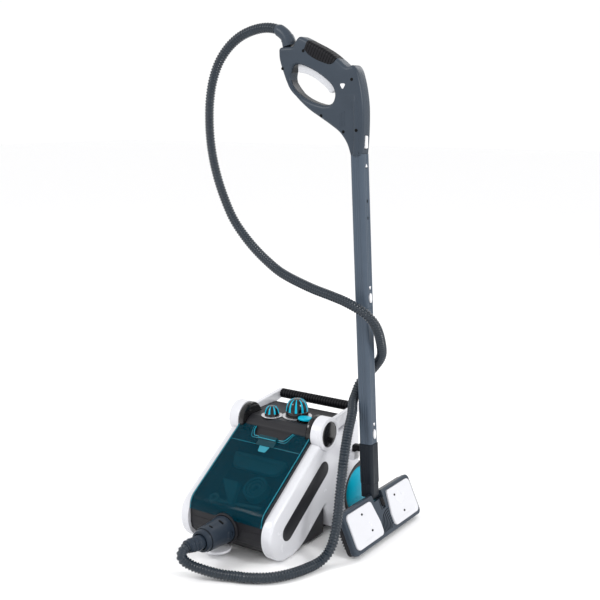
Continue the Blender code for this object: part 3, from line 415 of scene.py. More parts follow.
nodeFinishes = {
    "white_shell": "whiteGloss", "charcoal_body": "charcoalSatin", "black_gloss": "blackGloss",
    "lid_teal": "lidTint", "teal_plastic": "tealSatin", "bezel_silver": "silverPlate",
    "wand_grey": "wandSatin", "hose_grey": "hoseRibbed", "black_rubber": "gripRubber",
    "tyre_rubber": "tyreRubber", "steel": "steelBrushed", "brass": "brassTurned",
    "circuit_board": "greenBoard", "trigger_grey": "triggerGrey", "bristle_black": "bristles",
}


# each piece of the frame takes the finish of its own material slot
def paintNodes():
    for part in frame["record"]["subparts"]:
        node = bpy.data.objects[frame["nodes"][part["node"]].name]
        node.data.materials.clear()
        node.data.materials.append(finishes[nodeFinishes[part["material_slot"]]])
    print("finishes:", len(finishes))


# camera, light and floor

view = {"place": (1.1791, -1.7189, 0.943), "turn": 34.5, "down": 11.1, "focal": 58.8}


def makeCamera():
    camera = bpy.data.cameras.new("camera")
    camera.lens = view["focal"]
    camera.sensor_width = 36
    eye = linked("camera", camera)
    eye.location = view["place"]
    eye.rotation_euler = (math.radians(90 - view["down"]), 0, math.radians(view["turn"]))
    bpy.context.scene.camera = eye


def makeStage():
    deselectAll()
    bpy.ops.mesh.primitive_plane_add(size=40, location=(0, 0, -0.0006))
    floor = bpy.context.object
    floor.name = "floor"
    paper = bpy.data.materials.new("paleFloor")
    paper.use_nodes = True
    shader = paper.node_tree.nodes["Principled BSDF"]
    shader.inputs["Base Color"].default_value = (0.97, 0.97, 0.975, 1)
    shader.inputs["Roughness"].default_value = 0.9
    shader.inputs["Specular IOR Level"].default_value = 0.1
    floor.data.materials.append(paper)
    world = bpy.data.worlds.new("studio")
    bpy.context.scene.world = world
    world.use_nodes = True
    world.node_tree.nodes["Background"].inputs["Color"].default_value = (1, 1, 1, 1)
    world.node_tree.nodes["Background"].inputs["Strength"].default_value = 1.02
    lamps = {"key": ((-1.6, -2.4, 2.6), 40, 1.0), "fill": ((2.6, -0.4, 1.8), 30, 0.6),
             "back": ((0.4, 2.6, 2.4), 16, 1.4)}
    for name, (spot, power, size) in lamps.items():
        lamp = bpy.data.lights.new(name, "AREA")
        lamp.energy = power
        lamp.size = size
        light = linked(name, lamp)
        light.location = spot
        light.rotation_euler = (Vector((0, 0, 0.4)) - Vector(spot)).to_track_quat(
            "-Z", "Y").to_euler()
    bpy.context.scene.view_settings.view_transform = "Standard"
    print("stage: camera, floor and lights")


# hose, plug and cuff

hose = {"radius": 0.01125, "ribDepth": 0.0027, "ribPitch": 0.0066, "start": 0.03,
        "cuff": 0.047, "bootRadius": 0.0162, "cuffRadius": 0.0142, "route": (
    (0.0, -0.1203, 0.063), (0.0, -0.129, 0.0632), (-0.0006, -0.139, 0.0646),
    (-0.0014, -0.149, 0.0662), (-0.0026, -0.1585, 0.0662), (-0.0038, -0.1665, 0.063),
    (-0.004, -0.1722, 0.0565), (-0.0028, -0.1735, 0.049), (0.001, -0.1705, 0.0415),
    (0.0072, -0.1645, 0.0345), (0.0155, -0.158, 0.0285), (0.0262, -0.1505, 0.0235),
    (0.0395, -0.1428, 0.0188), (0.054, -0.135, 0.015), (0.07, -0.127, 0.0125),
    (0.089, -0.118, 0.0118),
    (0.1122, -0.1095, 0.0118), (0.1482, -0.085, 0.0118), (0.174, -0.05, 0.0118),
    (0.188, -0.0124, 0.0118), (0.197, 0.02, 0.0138), (0.205, 0.04, 0.024),
    (0.211, 0.053, 0.043), (0.2145, 0.061, 0.068), (0.215, 0.069, 0.096),
    (0.2135, 0.077, 0.124), (0.2105, 0.086, 0.148), (0.205, 0.101, 0.178),
    (0.197, 0.121, 0.2075), (0.1875, 0.145, 0.235), (0.1785, 0.171, 0.262),
    (0.1685, 0.2, 0.286), (0.154, 0.227, 0.302), (0.1495, 0.247, 0.318),
    (0.149, 0.264, 0.337), (0.16, 0.275, 0.355), (0.179, 0.276, 0.376),
    (0.2015, 0.2675, 0.407), (0.213, 0.243, 0.446), (0.216, 0.217, 0.483),
    (0.205, 0.2005, 0.508), (0.181, 0.196, 0.523), (0.1466, 0.198, 0.5345),
    (0.1082, 0.202, 0.5425), (0.064, 0.208, 0.55), (0.0201, 0.215, 0.5595),
    (-0.022, 0.223, 0.57), (-0.0588, 0.229, 0.584), (-0.1123, 0.236, 0.6155),
    (-0.156, 0.24, 0.6513), (-0.1878, 0.24, 0.689), (-0.212, 0.24, 0.733),
    (-0.2312, 0.24, 0.779), (-0.2445, 0.24, 0.825), (-0.252, 0.24, 0.871),
    (-0.254, 0.24, 0.917), (-0.251, 0.24, 0.962), (-0.241, 0.24, 1.006),
    (-0.2226, 0.24, 1.045), (-0.1945, 0.24, 1.077), (-0.1609, 0.24, 1.0995),
    (-0.1241, 0.24, 1.112), (-0.089, 0.24, 1.116), (-0.06, 0.24, 1.112),
    (-0.04, 0.24, 1.1015), (-0.0285, 0.24, 1.088), (-0.0245, 0.24, 1.0745),
)}


# corrugated hose from the plug's boot to the gun's cuff; its route is in the canister's axes
def makeHose():
    count = 6000
    fine, full = spaced(smoothLine([Vector(k) + canisterAt for k in hose["route"]]), count)
    step = full / (count - 1)
    first = round(hose["start"] / step)
    last = len(fine) - 1 - round(hose["cuff"] / step)
    line, length = spaced(fine[first:last], round((last - first) * step / hose["ribPitch"]) * 5)

    def ribbed(gone):
        wave = 0.5 + 0.5 * math.cos(2 * math.pi * gone / hose["ribPitch"])
        return hose["radius"] - hose["ribDepth"] * (1 - wave ** 0.7)

    corrugated = sweptTube(line, ribbed, 16)
    finishPiece(corrugated, "hoseTube", "canister", "hoseRibbed", base="world",
                node="hose", angle=80)

    boot, bootLength = spaced(fine[:first + 24], 150)

    def bootShape(gone):
        share = gone / bootLength
        radius = hose["bootRadius"] * (1 - 0.1 * share)
        if share > 0.28:
            radius += 0.0012 * math.cos(2 * math.pi * (share - 0.28) / 0.24) - 0.0012
        if share > 0.93:
            radius -= 0.012 * (share - 0.93)
        return radius

    sleeve = sweptTube(boot, bootShape, 28)
    finishPiece(sleeve, "plugBoot", "canister", "plugSatin", base="world",
                node="plug_boot", angle=60)

    cuffLine, cuffLength = spaced(fine[last - 20:][::-1], 60)

    def cuffShape(gone):
        share = gone / cuffLength
        collar = 0.0012 if share < 0.35 else 0.0
        end = 0.003 * max(0.0, share - 0.85) / 0.15
        return hose["cuffRadius"] + collar - 0.001 * share - end

    cuff = sweptTube(cuffLine, cuffShape, 28)
    finishPiece(cuff, "hoseCuff", "wand", "wandSatin", base="world", node="hose_cuff", angle=60)
    print("hose:", round(length, 3), "m")


# canister body

panel = {"inner": 0.0995, "outer": 0.1225, "edge": 0.0065, "archRadius": 0.0695,
         "hub": (0.175, 0.237), "axle": (0.315, 0.0635), "inlayLift": 0.0006, "corners": (
    (-0.043, 0.0906, 0.05), (-0.043, 0.003, 0.06), (0.066, 0.003, 0.1),
    (0.1715, 0.078, 0.004), (0.169, 0.062, 0.01), (0.189, 0.013, 0.008),
    (0.272, 0.013, 0.008), (0.3125, 0.1, 0.001), (0.3125, 0.17, 0.06),
    (0.306, 0.245, 0.015), (0.195, 0.218, 0), (0.1415, 0.2198, 0),
)}


def stadium(start, end, radius):
    start, end, steps = Vector(start), Vector(end), 20
    direction = (end - start).normalized()
    across = Vector((-direction.y, direction.x))
    return [centre + radius * sign * (direction * math.sin(math.pi * k / steps)
                                      - across * math.cos(math.pi * k / steps))
            for centre, sign in ((start, -1), (end, 1)) for k in range(steps + 1)]


def makePanels():
    low, high = panel["inner"], panel["outer"]
    side = grown("YZ", low - 0.01, high, outline(panel["corners"]), edge=panel["edge"], bend=5)
    cut(side, block((low - 0.02, -0.1, -0.05), (low, 0.4, 0.3)))
    cut(side, rod("X", (0.11, *panel["hub"]), 0.0383, 0.05, count=96))
    cut(side, rod("X", (0.11, *panel["axle"]), panel["archRadius"], 0.05, count=96))
    ends = ((0.0215, 0.0635), (0.1585, 0.1585))
    cut(side, slab("YZ", high - 0.0024, high + 0.01, stadium(*ends, 0.0193)))
    inlay = grown("YZ", high - 0.0022, high + panel["inlayLift"], stadium(*ends, 0.019), edge=0.001)
    line = [Vector((high + 0.0002, p.x, p.y)) for p in stadium(*ends, 0.0172)]
    rim = sweptTube([*line, line[0]], lambda gone: 0.0004, 6)
    finishPair(side, "sidePanel", "canister", "whiteGloss", node="side_panel_", angle=30)
    finishPair(inlay, "sideInlay", "canister", "inlaySatin", node="side_inlay_",
               angle=30)
    finishPair(rim, "inlayLine", "canister", "blackGloss")
    skirt = slab("YZ", low - 0.0002, 0.116, outline(((0.075, 0.0068, 0.001),
                 (0.1678, 0.0068, 0.004), (0.1678, 0.0732, 0.001))), edge=0.0012)
    finishPair(skirt, "skirt", "canister", "charcoalSatin")
    print("canister: side panels and skirts")


deck = {"top": 0.248, "steamKnob": (-0.038, 0.186), "boilerCap": (0.012, 0.215),
        "power": (0.05, 0.1925)}
knobShapes = {
    "steamKnob": {"body": "steam_knob", "stripes": 8, "lift": 0.0005, "width": 0.36,
                  "dome": ((0, 0.0235), (0.007, 0.0226), (0.0122, 0.0188), (0.0154, 0.0125),
                           (0.0166, 0.0066)),
                  "skirt": ((0.0172, 0.006), (0.0172, 0.0024))},
    "boilerCap": {"body": "boiler_cap", "stripes": 10, "lift": 0.0006, "width": 0.36,
                  "dome": ((0, 0.0418), (0.0108, 0.0402), (0.019, 0.0345), (0.0235, 0.0245),
                           (0.0252, 0.013)),
                  "skirt": ((0.0266, 0.012), (0.0268, 0.0024))},
}


# domed knobs with raised teal stripes, on their bright plate
def makeKnobs():
    for name, shape in knobShapes.items():
        place = shift((*deck[name], deck["top"]))
        dome = smoothProfile(shape["dome"])
        solid = turned([*dome, *shape["skirt"], (0, 0.0024)], place, 72)
        softenEdges(solid, 0.0006, 2, 40)
        finishPiece(solid, name, shape["body"], "blackGloss", node=shape["body"], angle=35)
        stripes = bmesh.new()
        rows = [p for p in dome if p[0] > 0.28 * shape["skirt"][0][0]]
        for number in range(shape["stripes"]):
            middle = 2 * math.pi * (number + 0.3) / shape["stripes"]
            grid = []
            for index, (radius, height) in enumerate(rows):
                share = index / (len(rows) - 1)
                half = math.pi / shape["stripes"] * shape["width"] * (0.55 + 0.45 * share)
                if index == 0:
                    half *= 0.55
                grid.append([stripes.verts.new((
                    (radius + shape["lift"]) * math.cos(middle + half * k / 3),
                    (radius + shape["lift"]) * math.sin(middle + half * k / 3),
                    height + shape["lift"] * 0.7)) for k in range(-3, 4)])
            for upper, lower in zip(grid, grid[1:]):
                for k in range(6):
                    stripes.faces.new((upper[k], lower[k], lower[k + 1], upper[k + 1]))
        mesh = bpy.data.meshes.new("stripes")
        bmesh.ops.recalc_face_normals(stripes, faces=stripes.faces)
        stripes.to_mesh(mesh)
        stripes.free()
        piece = linked("stripes", mesh)
        thick = piece.modifiers.new("thickness", "SOLIDIFY")
        thick.thickness = 0.0012
        thick.offset = -1
        moved(applyModifiers(piece), place)
        finishPiece(piece, name + "Stripes", shape["body"], "tealSatin", angle=40)
    low = deck["top"]
    plateParts = []
    for spot, radius in ((deck["steamKnob"], 0.025), (deck["boilerCap"], 0.0345)):
        ring = grown("XY", low + 0.0002, low + 0.0015, oval(*spot, radius, radius, 80),
                     oval(*spot, radius - 0.009, radius - 0.009, 64), edge=0.0004, bend=2)
        plateParts.append(ring)
    hole = slab("XY", low - 0.01, low + 0.01, oval(*deck["power"], 0.0206, 0.0161))
    cut(plateParts[1], hole)
    finishPiece(join(plateParts), "knobPlate", "canister", "silverPlate", node="deck_bezel")
    x, y = deck["power"]
    button = grown("XY", low + 0.0035, low + 0.0096, oval(x, y, 0.0182, 0.0138), edge=0.0028, bend=5)
    finishPiece(button, "powerButton", "power_button", "tealSatin", node="power_button", angle=40)
    # painted shade: a near-black ring for the shade in the gap round the power button
    recess = grown("XY", low - 0.001, low + 0.0022, oval(x, y, 0.0206, 0.0161),
                   oval(x, y, 0.0187, 0.0143), edge=0.0006)
    finishPiece(recess, "buttonRecess", "canister", "paintedGapShade")
    print("deck: knobs, plate and button")


handle = {"hubRadius": 0.0377, "grip": (0.319, 0.259), "gripRadius": 0.0115, "ringPitch": 0.0074}


def makeHandle():
    y, z = panel["hub"]
    turn = shift((0, y, z)) @ Matrix.Rotation(math.pi / 2, 4, "Y")
    r = handle["hubRadius"]
    hub = turned([(0, 0.0998), (r - 0.0006, 0.0998), (r, 0.1004), (r, 0.1235), (r - 0.001, 0.1262),
                  (r - 0.0034, 0.1275), (0.0308, 0.1275), (0.0294, 0.1268), (0.029, 0.1246),
                  (0, 0.1246)][::-1], turn, 96)
    disc = turned([(0, 0.1266), (0.022, 0.1265), (0.026, 0.1262), (0.0278, 0.1254),
                   (0.028, 0.124), (0, 0.124)], turn, 96)
    ring = turned([(0.0289, 0.1262), (0.0281, 0.1264), (0.0281, 0.1242), (0.0289, 0.1242)], turn, 96)
    gripY, gripZ = handle["grip"]
    direction = Vector((gripY - y, gripZ - z)).normalized()
    across = Vector((-direction.y, direction.x))
    arm = []
    for centre, radius, sign in ((Vector((y, z)) + direction * 0.028, 0.018, -1),
                                 (Vector((gripY, gripZ)), 0.011, 1)):
        for k in range(21):
            angle = math.pi * k / 20
            arm.append(centre + radius * sign * (direction * math.sin(angle)
                                                 - across * math.cos(angle)))
    blade = grown("YZ", 0.1025, 0.1137, arm, edge=0.0036, bend=4)
    finishPair(join([hub, blade]), "handleArm", "handle", "whiteGloss", node="handle_arm_", angle=30)
    finishPair(disc, "hubDisc", "handle", "blackGloss")
    finishPair(ring, "hubRing", "handle", "silverPlate")
    length, pitch, radius = 0.2044, handle["ringPitch"], handle["gripRadius"]
    profile = [(0, length / 2)]
    for k in range(round(length / pitch)):
        top = length / 2 - k * pitch
        profile += [(radius - 0.002, top), (radius, top - 0.0008), (radius, top - 0.0048),
                    (radius - 0.002, top - 0.0056)]
    profile += [(radius - 0.002, -length / 2), (0, -length / 2)]
    grip = turned(profile, shift((0, gripY, gripZ)) @ Matrix.Rotation(math.pi / 2, 4, "Y"), 40)
    finishPiece(grip, "handleGrip", "handle", "gripRubber", node="handle_grip", angle=40)
    collar = turned([(0, 0.0985), (0.033, 0.0985), (0.0359, 0.0976), (0.0372, 0.095),
                     (0.0372, 0.089), (0.0355, 0.0862), (0.0325, 0.0852), (0, 0.0852)], turn, 96)
    finishPair(collar, "hubCollar", "canister", "blackGloss", node="hub_collar_", angle=30)
    print("handle: arms, discs and ringed grip")


lid = {"front": -0.038, "thick": 0.003, "half": 0.099, "lineX": 0.0962}


def makeLid():
    rise = math.tan(slopeAngle)
    _, y, z = slopeAt
    front, bottom, thick = lid["front"], 0.086, lid["thick"]
    drop = thick / math.cos(slopeAngle)
    shape = outline(((front, bottom, 0), (front, z - rise * (y - front), 0.035), (y, z, 0),
                     (y + 0.0005, z - drop + 0.0003, 0),
                     (front + thick, z - rise * (y - front - thick) - drop, 0.032),
                     (front + thick, bottom, 0)))
    sheet = grown("YZ", -lid["half"], lid["half"], shape, edge=0.0006, bend=2)
    toSlope = axes["canister"].inverted() @ axes["slope"]
    notch = outline(((-0.05, 0.009, 0), (-0.047, -0.012, 0.006), (-0.037, -0.0235, 0.008),
                     (0.035, -0.0235, 0.01), (0.053, 0.009, 0)))
    cut(sheet, moved(slab("XY", -0.02, 0.02, notch), toSlope))
    cut(sheet, rod("Y", (0, -0.0348, 0.063), 0.0345, 0.03, count=96))
    for sign in (-1, 1):
        cut(sheet, rod("X", (sign * 0.095, *panel["hub"]), 0.0385, 0.022, count=96))
    finishPiece(sheet, "lidPanel", "lid", "lidTint", node="lid_panel", angle=25)

    # painted highlights: lighter teal lines along the lid's side edges, round the notch and across
    # the flange step, for the glint on these edges; the flange step itself is not modelled
    edge = smoothLine([(0, 0.142, 0.2322), (0, 0.1, 0.2028), (0, 0.06, 0.1752),
                       (0, 0.02, 0.1476), (0, -0.0229, 0.118), (0, -0.0338, 0.1052),
                       (0, -0.038, 0.0892), (0, -0.038, 0.0868)], 6)
    lines = [sweptTube([p + Vector((x, 0, 0)) for p in edge], lambda gone: 0.0007, 8)
             for x in (-lid["lineX"], lid["lineX"])]
    for inset, thickness in ((0.0015, 0.0008), (0.0062, 0.0004)):
        rim = smoothLine([(-0.0487 - inset, -0.001, 0), (-0.047 - inset, -0.0125, 0),
                          (-0.04 - inset, -0.0225 - inset, 0), (-0.032, -0.0238 - inset, 0),
                          (0, -0.0238 - inset, 0), (0.029, -0.0238 - inset, 0),
                          (0.04 + inset, -0.0205 - inset, 0), (0.047 + inset, -0.0085, 0),
                          (0.0505 + inset, -0.001, 0)], 8)
        lines.append(moved(sweptTube(rim, lambda gone, t=thickness: t, 8), toSlope))
    step = sweptTube([Vector((x, -0.0465, 0)) for x in (-0.094, -0.05, 0, 0.05, 0.094)],
                     lambda gone: 0.0003, 8)
    lines.append(moved(step, toSlope))
    finishPiece(join(lines), "lidEdgeHighlights", "lid", "tealEdgeHighlight")
    leg = grown("XY", -0.0006, 0.0003, outline(((-0.012, -0.048, 0), (-0.008, -0.064, 0.003),
                                                 (0.011, -0.064, 0.003), (0.015, -0.048, 0))),
                edge=0.0003)
    finishPiece(leg, "lidLeg", "lid", "toolTeal", base="slope")

    latch = grown("YZ", -0.0225, 0.025, outline((
        (-0.048, 0.0004, 0), (-0.048, 0.0016, 0.0005), (-0.035, 0.0022, 0.002),
        (-0.032, 0.0075, 0.0015), (-0.024, 0.0075, 0.0015), (-0.0237, 0.0004, 0))), edge=0.0003)
    finishPiece(latch, "lidLatch", "lid_latch", "latchTeal", base="slope",
                node="lid_latch")
    # painted highlight: a lighter teal strip along the latch's front lip
    lip = block((-0.0225, -0.0335, 0.0066), (0.025, -0.0318, 0.0078), 0.0004)
    finishPiece(lip, "latchLip", "lid_latch", "tealEdgeHighlight", base="slope")
    # painted shade: a near-black strip for the shade in the gap under the latch
    gap = block((-0.02, -0.024, 0.001), (0.0225, -0.0234, 0.006), 0.0002)
    finishPiece(gap, "latchGap", "lid_latch", "paintedGapShade", base="slope")
    scoop = grown("XY", -0.02, -0.0052, outline(((-0.054, 0.002, 0.002),
                  (-0.05, -0.033, 0.01), (0.05, -0.033, 0.01), (0.054, 0.002, 0.002))),
                  edge=0.001)
    finishPiece(scoop, "lidScoop", "canister", "charcoalSatin", base="slope")
    print("lid: tinted panel, lines and latch")


# small tools under the lid, drawn on the lid's slope
def makeTools():
    blade = grown("XY", -0.026, -0.015, outline(((-0.078, -0.066, 0.006),
                  (-0.06, -0.105, 0.012), (0.06, -0.105, 0.02), (0.068, -0.064, 0.006))),
                  edge=0.003)
    slot = slab("XY", -0.0165, -0.01, outline(((-0.06, -0.076, 0.001), (-0.06, -0.08, 0.001),
                (0.052, -0.08, 0.001), (0.052, -0.076, 0.001))))
    cut(blade, slot)
    finishPiece(blade, "windowSqueegee", "canister", "toolTeal", base="slope",
                node="window_squeegee")
    rings = []
    for outer, inner, top in ((0.028, 0.0225, -0.0135), (0.0205, 0.015, -0.015),
                              (0.013, 0.007, -0.0165)):
        rings.append(turned([(outer, top - 0.001), (outer - 0.001, top), (inner + 0.001, top),
                             (inner, top - 0.001), (inner, -0.03), (outer, -0.03)],
                            shift((0.028, -0.145, 0)), 48))
    rings.append(rod("Z", (0.028, -0.145, -0.031), 0.028, 0.007, 0.001))
    finishPiece(join(rings), "roundBrush", "canister", "toolTeal", base="slope",
                node="round_brush")
    nozzle = grown("XY", -0.03, -0.013, outline(((-0.064, -0.142, 0.003),
                   (-0.011, -0.199, 0.003), (-0.001, -0.198, 0.003), (-0.02, -0.141, 0.003))),
                   edge=0.0025)
    finishPiece(nozzle, "triangleNozzle", "canister", "toolTeal", base="slope")
    stub = turned([(0.012, 0.012), (0.0105, 0.013), (0.006, 0.013), (0.006, -0.005),
                   (0.012, -0.005)], shift((-0.06, -0.19, -0.033)), 40)
    bar = grown("XY", -0.033, -0.025, outline(((-0.05, -0.196, 0.002), (0.063, -0.186, 0.002),
                (0.063, -0.18, 0.002), (-0.05, -0.188, 0.002))), edge=0.0015)
    finishPiece(join([stub, bar]), "spareNozzle", "canister", "toolGrey", base="slope")
    print("tray: tools under the lid")


plug = {"slots": ((0.011, -0.064, 0.007, 0.0027), (0.0075, -0.093, 0.0048, 0.0018))}


def makePlug():
    turn = shift((0, 0, 0.063)) @ Matrix.Rotation(math.pi / 2, 4, "X")
    shell = turned([(0.018, 0.12), (0.0205, 0.12), (0.0228, 0.1185), (0.0238, 0.115),
                    (0.024, 0.1095), (0.0246, 0.1088), (0.0246, 0.1078), (0.026, 0.107),
                    (0.0264, 0.105), (0.0268, 0.095), (0.0274, 0.08), (0.0285, 0.066),
                    (0.0294, 0.056), (0.0296, 0.048), (0.0296, 0.0425), (0.018, 0.0425)], turn,
                   72)
    cut(shell, rod("X", (0.0335, -0.057, 0.063), 0.0088, 0.023, count=64))
    # painted shade: a near-black ring in the shell's groove and near-black slots for the shade
    # inside the openings
    dark = turned([(0.0249, 0.1092), (0.0249, 0.1076), (0.023, 0.1076), (0.023, 0.1092)], turn, 72)
    for x, y, halfX, halfY in plug["slots"]:
        radius = 0.0294 - (abs(y) - 0.056) * 0.055
        place = (shift((0, y, 0.063)) @ Matrix.Rotation(math.asin(x / radius), 4, "Y")
                 @ shift((0, 0, radius - 0.0006)))
        slot = moved(grown("XY", -0.0008, 0.0008, oval(0, 0, halfX, halfY, 32), edge=0.0003), place)
        dark = join([dark, slot])
    finishPiece(shell, "hosePlug", "canister", "plugSatin", node="hose_plug", angle=40)
    finishPiece(dark, "plugSlots", "canister", "paintedGapShade")
    button = turned([(0, 0.0294), (0.0055, 0.0293), (0.0075, 0.0288), (0.0083, 0.0278),
                     (0.0084, 0.0244), (0, 0.0244)],
                    shift((0, -0.057, 0.063)) @ Matrix.Rotation(math.pi / 2, 4, "Y"),
                    48)
    finishPiece(button, "plugButton", "plug_button", "plugSatin",
                node="plug_button", angle=40)
    socket = turned([(0.03, 0.0395), (0.03, 0.0414), (0.0312, 0.0418), (0.0322, 0.0414),
                     (0.0325, 0.0402), (0.0328, 0.04), (0.0337, 0.0396), (0.0338, 0.0385),
                     (0.0338, 0.035), (0.025, 0.035), (0.025, 0.02), (0.0195, 0.02),
                     (0.0195, 0.0395)], turn, 72)
    finishPiece(socket, "hoseSocket", "canister", "charcoalSatin", node="hose_socket", angle=35)
    for side, low, high in (("Left", -0.09, -0.042), ("Right", 0.042, 0.09)):
        ridge = block((low, -0.0353, 0.069), (high, -0.0343, 0.07), 0.0003)
        finishPiece(ridge, "frontRidge" + side, "canister", "charcoalSatin")
    print("plug: shell, button and socket ring")


wheel = {"ribs": 56, "tyre": 0.0635, "cap": 0.0537}


def makeWheels():
    for name, sign in (("Right", 1), ("Left", -1)):
        turn = (shift((0, *panel["axle"])) @ Matrix.Rotation(sign * math.pi / 2, 4, "Y"))
        dome = smoothProfile(((0, 0.1254), (0.018, 0.1245), (0.036, 0.1215), (0.048, 0.1175),
                              (0.0532, 0.1128)))
        cap = turned([*dome, (wheel["cap"], 0.111), (wheel["cap"], 0.101), (0, 0.101)], turn, 96)
        finishPiece(cap, "wheelCap" + name, "wheel_" + name.lower(), "tealSatin",
                    node="wheel_cap_" + name.lower(), angle=40)
        r = wheel["tyre"] - 0.0009
        tyre = turned([(0.0541, 0.1185), (0.056, 0.119), (0.0595, 0.1188), (r - 0.0008, 0.1165),
                       (r, 0.115), (r, 0.104), (r - 0.0008, 0.1025), (0.0595, 0.1002),
                       (0.0541, 0.1)], turn, 112)
        rib = block((-0.0011, r - 0.003, 0.101), (0.0011, wheel["tyre"] - 0.0001, 0.1176), 0.0006, 2)
        ribs = [copyOf(rib, Matrix.Rotation(2 * math.pi * k / wheel["ribs"], 4, "Z"))
                for k in range(1, wheel["ribs"])]
        ribs = moved(join([rib, *ribs]), turn)
        finishPiece(join([tyre, ribs]), "wheelTyre" + name, "wheel_" + name.lower(),
                    "tyreRubber", node="wheel_tyre_" + name.lower(), angle=40)
    plate = grown("XY", 0.0165, 0.0225, oval(-0.017, -0.049, 0.035, 0.03, 72), edge=0.0026)
    finishPiece(plate, "casterPlate", "canister", "whiteGloss", node="caster_bracket", angle=40)
    print("wheels: domes and ribbed tyres")


# gun, tubes and their controls

gun = {"front": 0.222, "back": 0.258, "seam": 0.24, "edge": 0.0072, "skin": (
    (-0.043, 1.0655, 0), (-0.037, 1.0715), (-0.006, 1.0725, 0), (0.003, 1.086),
    (0.012, 1.0925), (0.026, 1.088), (0.043, 1.08), (0.067, 1.069), (0.091, 1.056),
    (0.114, 1.04), (0.131, 1.028), (0.145, 1.03), (0.1545, 1.022), (0.1615, 1.004),
    (0.1675, 0.98), (0.172, 0.95), (0.1732, 0.92), (0.1725, 0.885), (0.1702, 0.852),
    (0.169, 0.843, 0), (0.1425, 0.843, 0), (0.133, 0.868), (0.116, 0.89),
    (0.093, 0.906), (0.064, 0.923), (0.035, 0.94), (0.005, 0.964),
    (-0.018, 0.99), (-0.031, 1.017), (-0.041, 1.045),
), "loop": (
    (-0.011, 1.018), (-0.005, 1.032), (0.01, 1.035), (0.042, 1.024), (0.074, 1.006),
    (0.095, 0.988), (0.102, 0.97), (0.096, 0.953), (0.082, 0.948), (0.064, 0.95),
    (0.04, 0.957), (0.016, 0.969), (-0.003, 0.985), (-0.012, 1.002),
), "trigger": (
    (0.002, 1.021), (0.006, 1.018), (0.022, 1.015), (0.041, 1.0075), (0.06, 0.996),
    (0.075, 0.985), (0.086, 0.974), (0.096, 0.98), (0.104, 0.99), (0.101, 0.999),
    (0.088, 1.008), (0.062, 1.022), (0.038, 1.033), (0.016, 1.041), (0.004, 1.04),
), "pocket": (
    (0.0, 1.01), (0.03, 1.0), (0.07, 0.98), (0.086, 0.968), (0.101, 0.975),
    (0.109, 0.99), (0.105, 1.004), (0.09, 1.014), (0.064, 1.033), (0.038, 1.044),
    (0.014, 1.053), (0.0, 1.051),
), "grip": (
    (0.018, 1.066, 0), (0.03, 1.054), (0.048, 1.044), (0.07, 1.036), (0.085, 1.033),
    (0.096, 1.039), (0.105, 1.056, 0), (0.07, 1.075), (0.03, 1.093, 0),
), "screws": (
    (0.0235, 1.0625), (-0.031, 1.0265), (0.07, 0.9262), (0.1262, 0.893), (0.159, 0.8965),
    (0.1455, 1.001),
), "lock": (0.1235, 0.9885), "lockSize": 0.0088}


def shrunk(line, share):
    middle = sum(line, Vector((0, 0))) / len(line)
    return [middle + (p - middle) * share for p in line]


# a plate centred on the gun's seam
def seamPlate(half, *lines, edge=0.0):
    return slab("XZ", gun["seam"] - half, gun["seam"] + half, *lines, edge=edge)


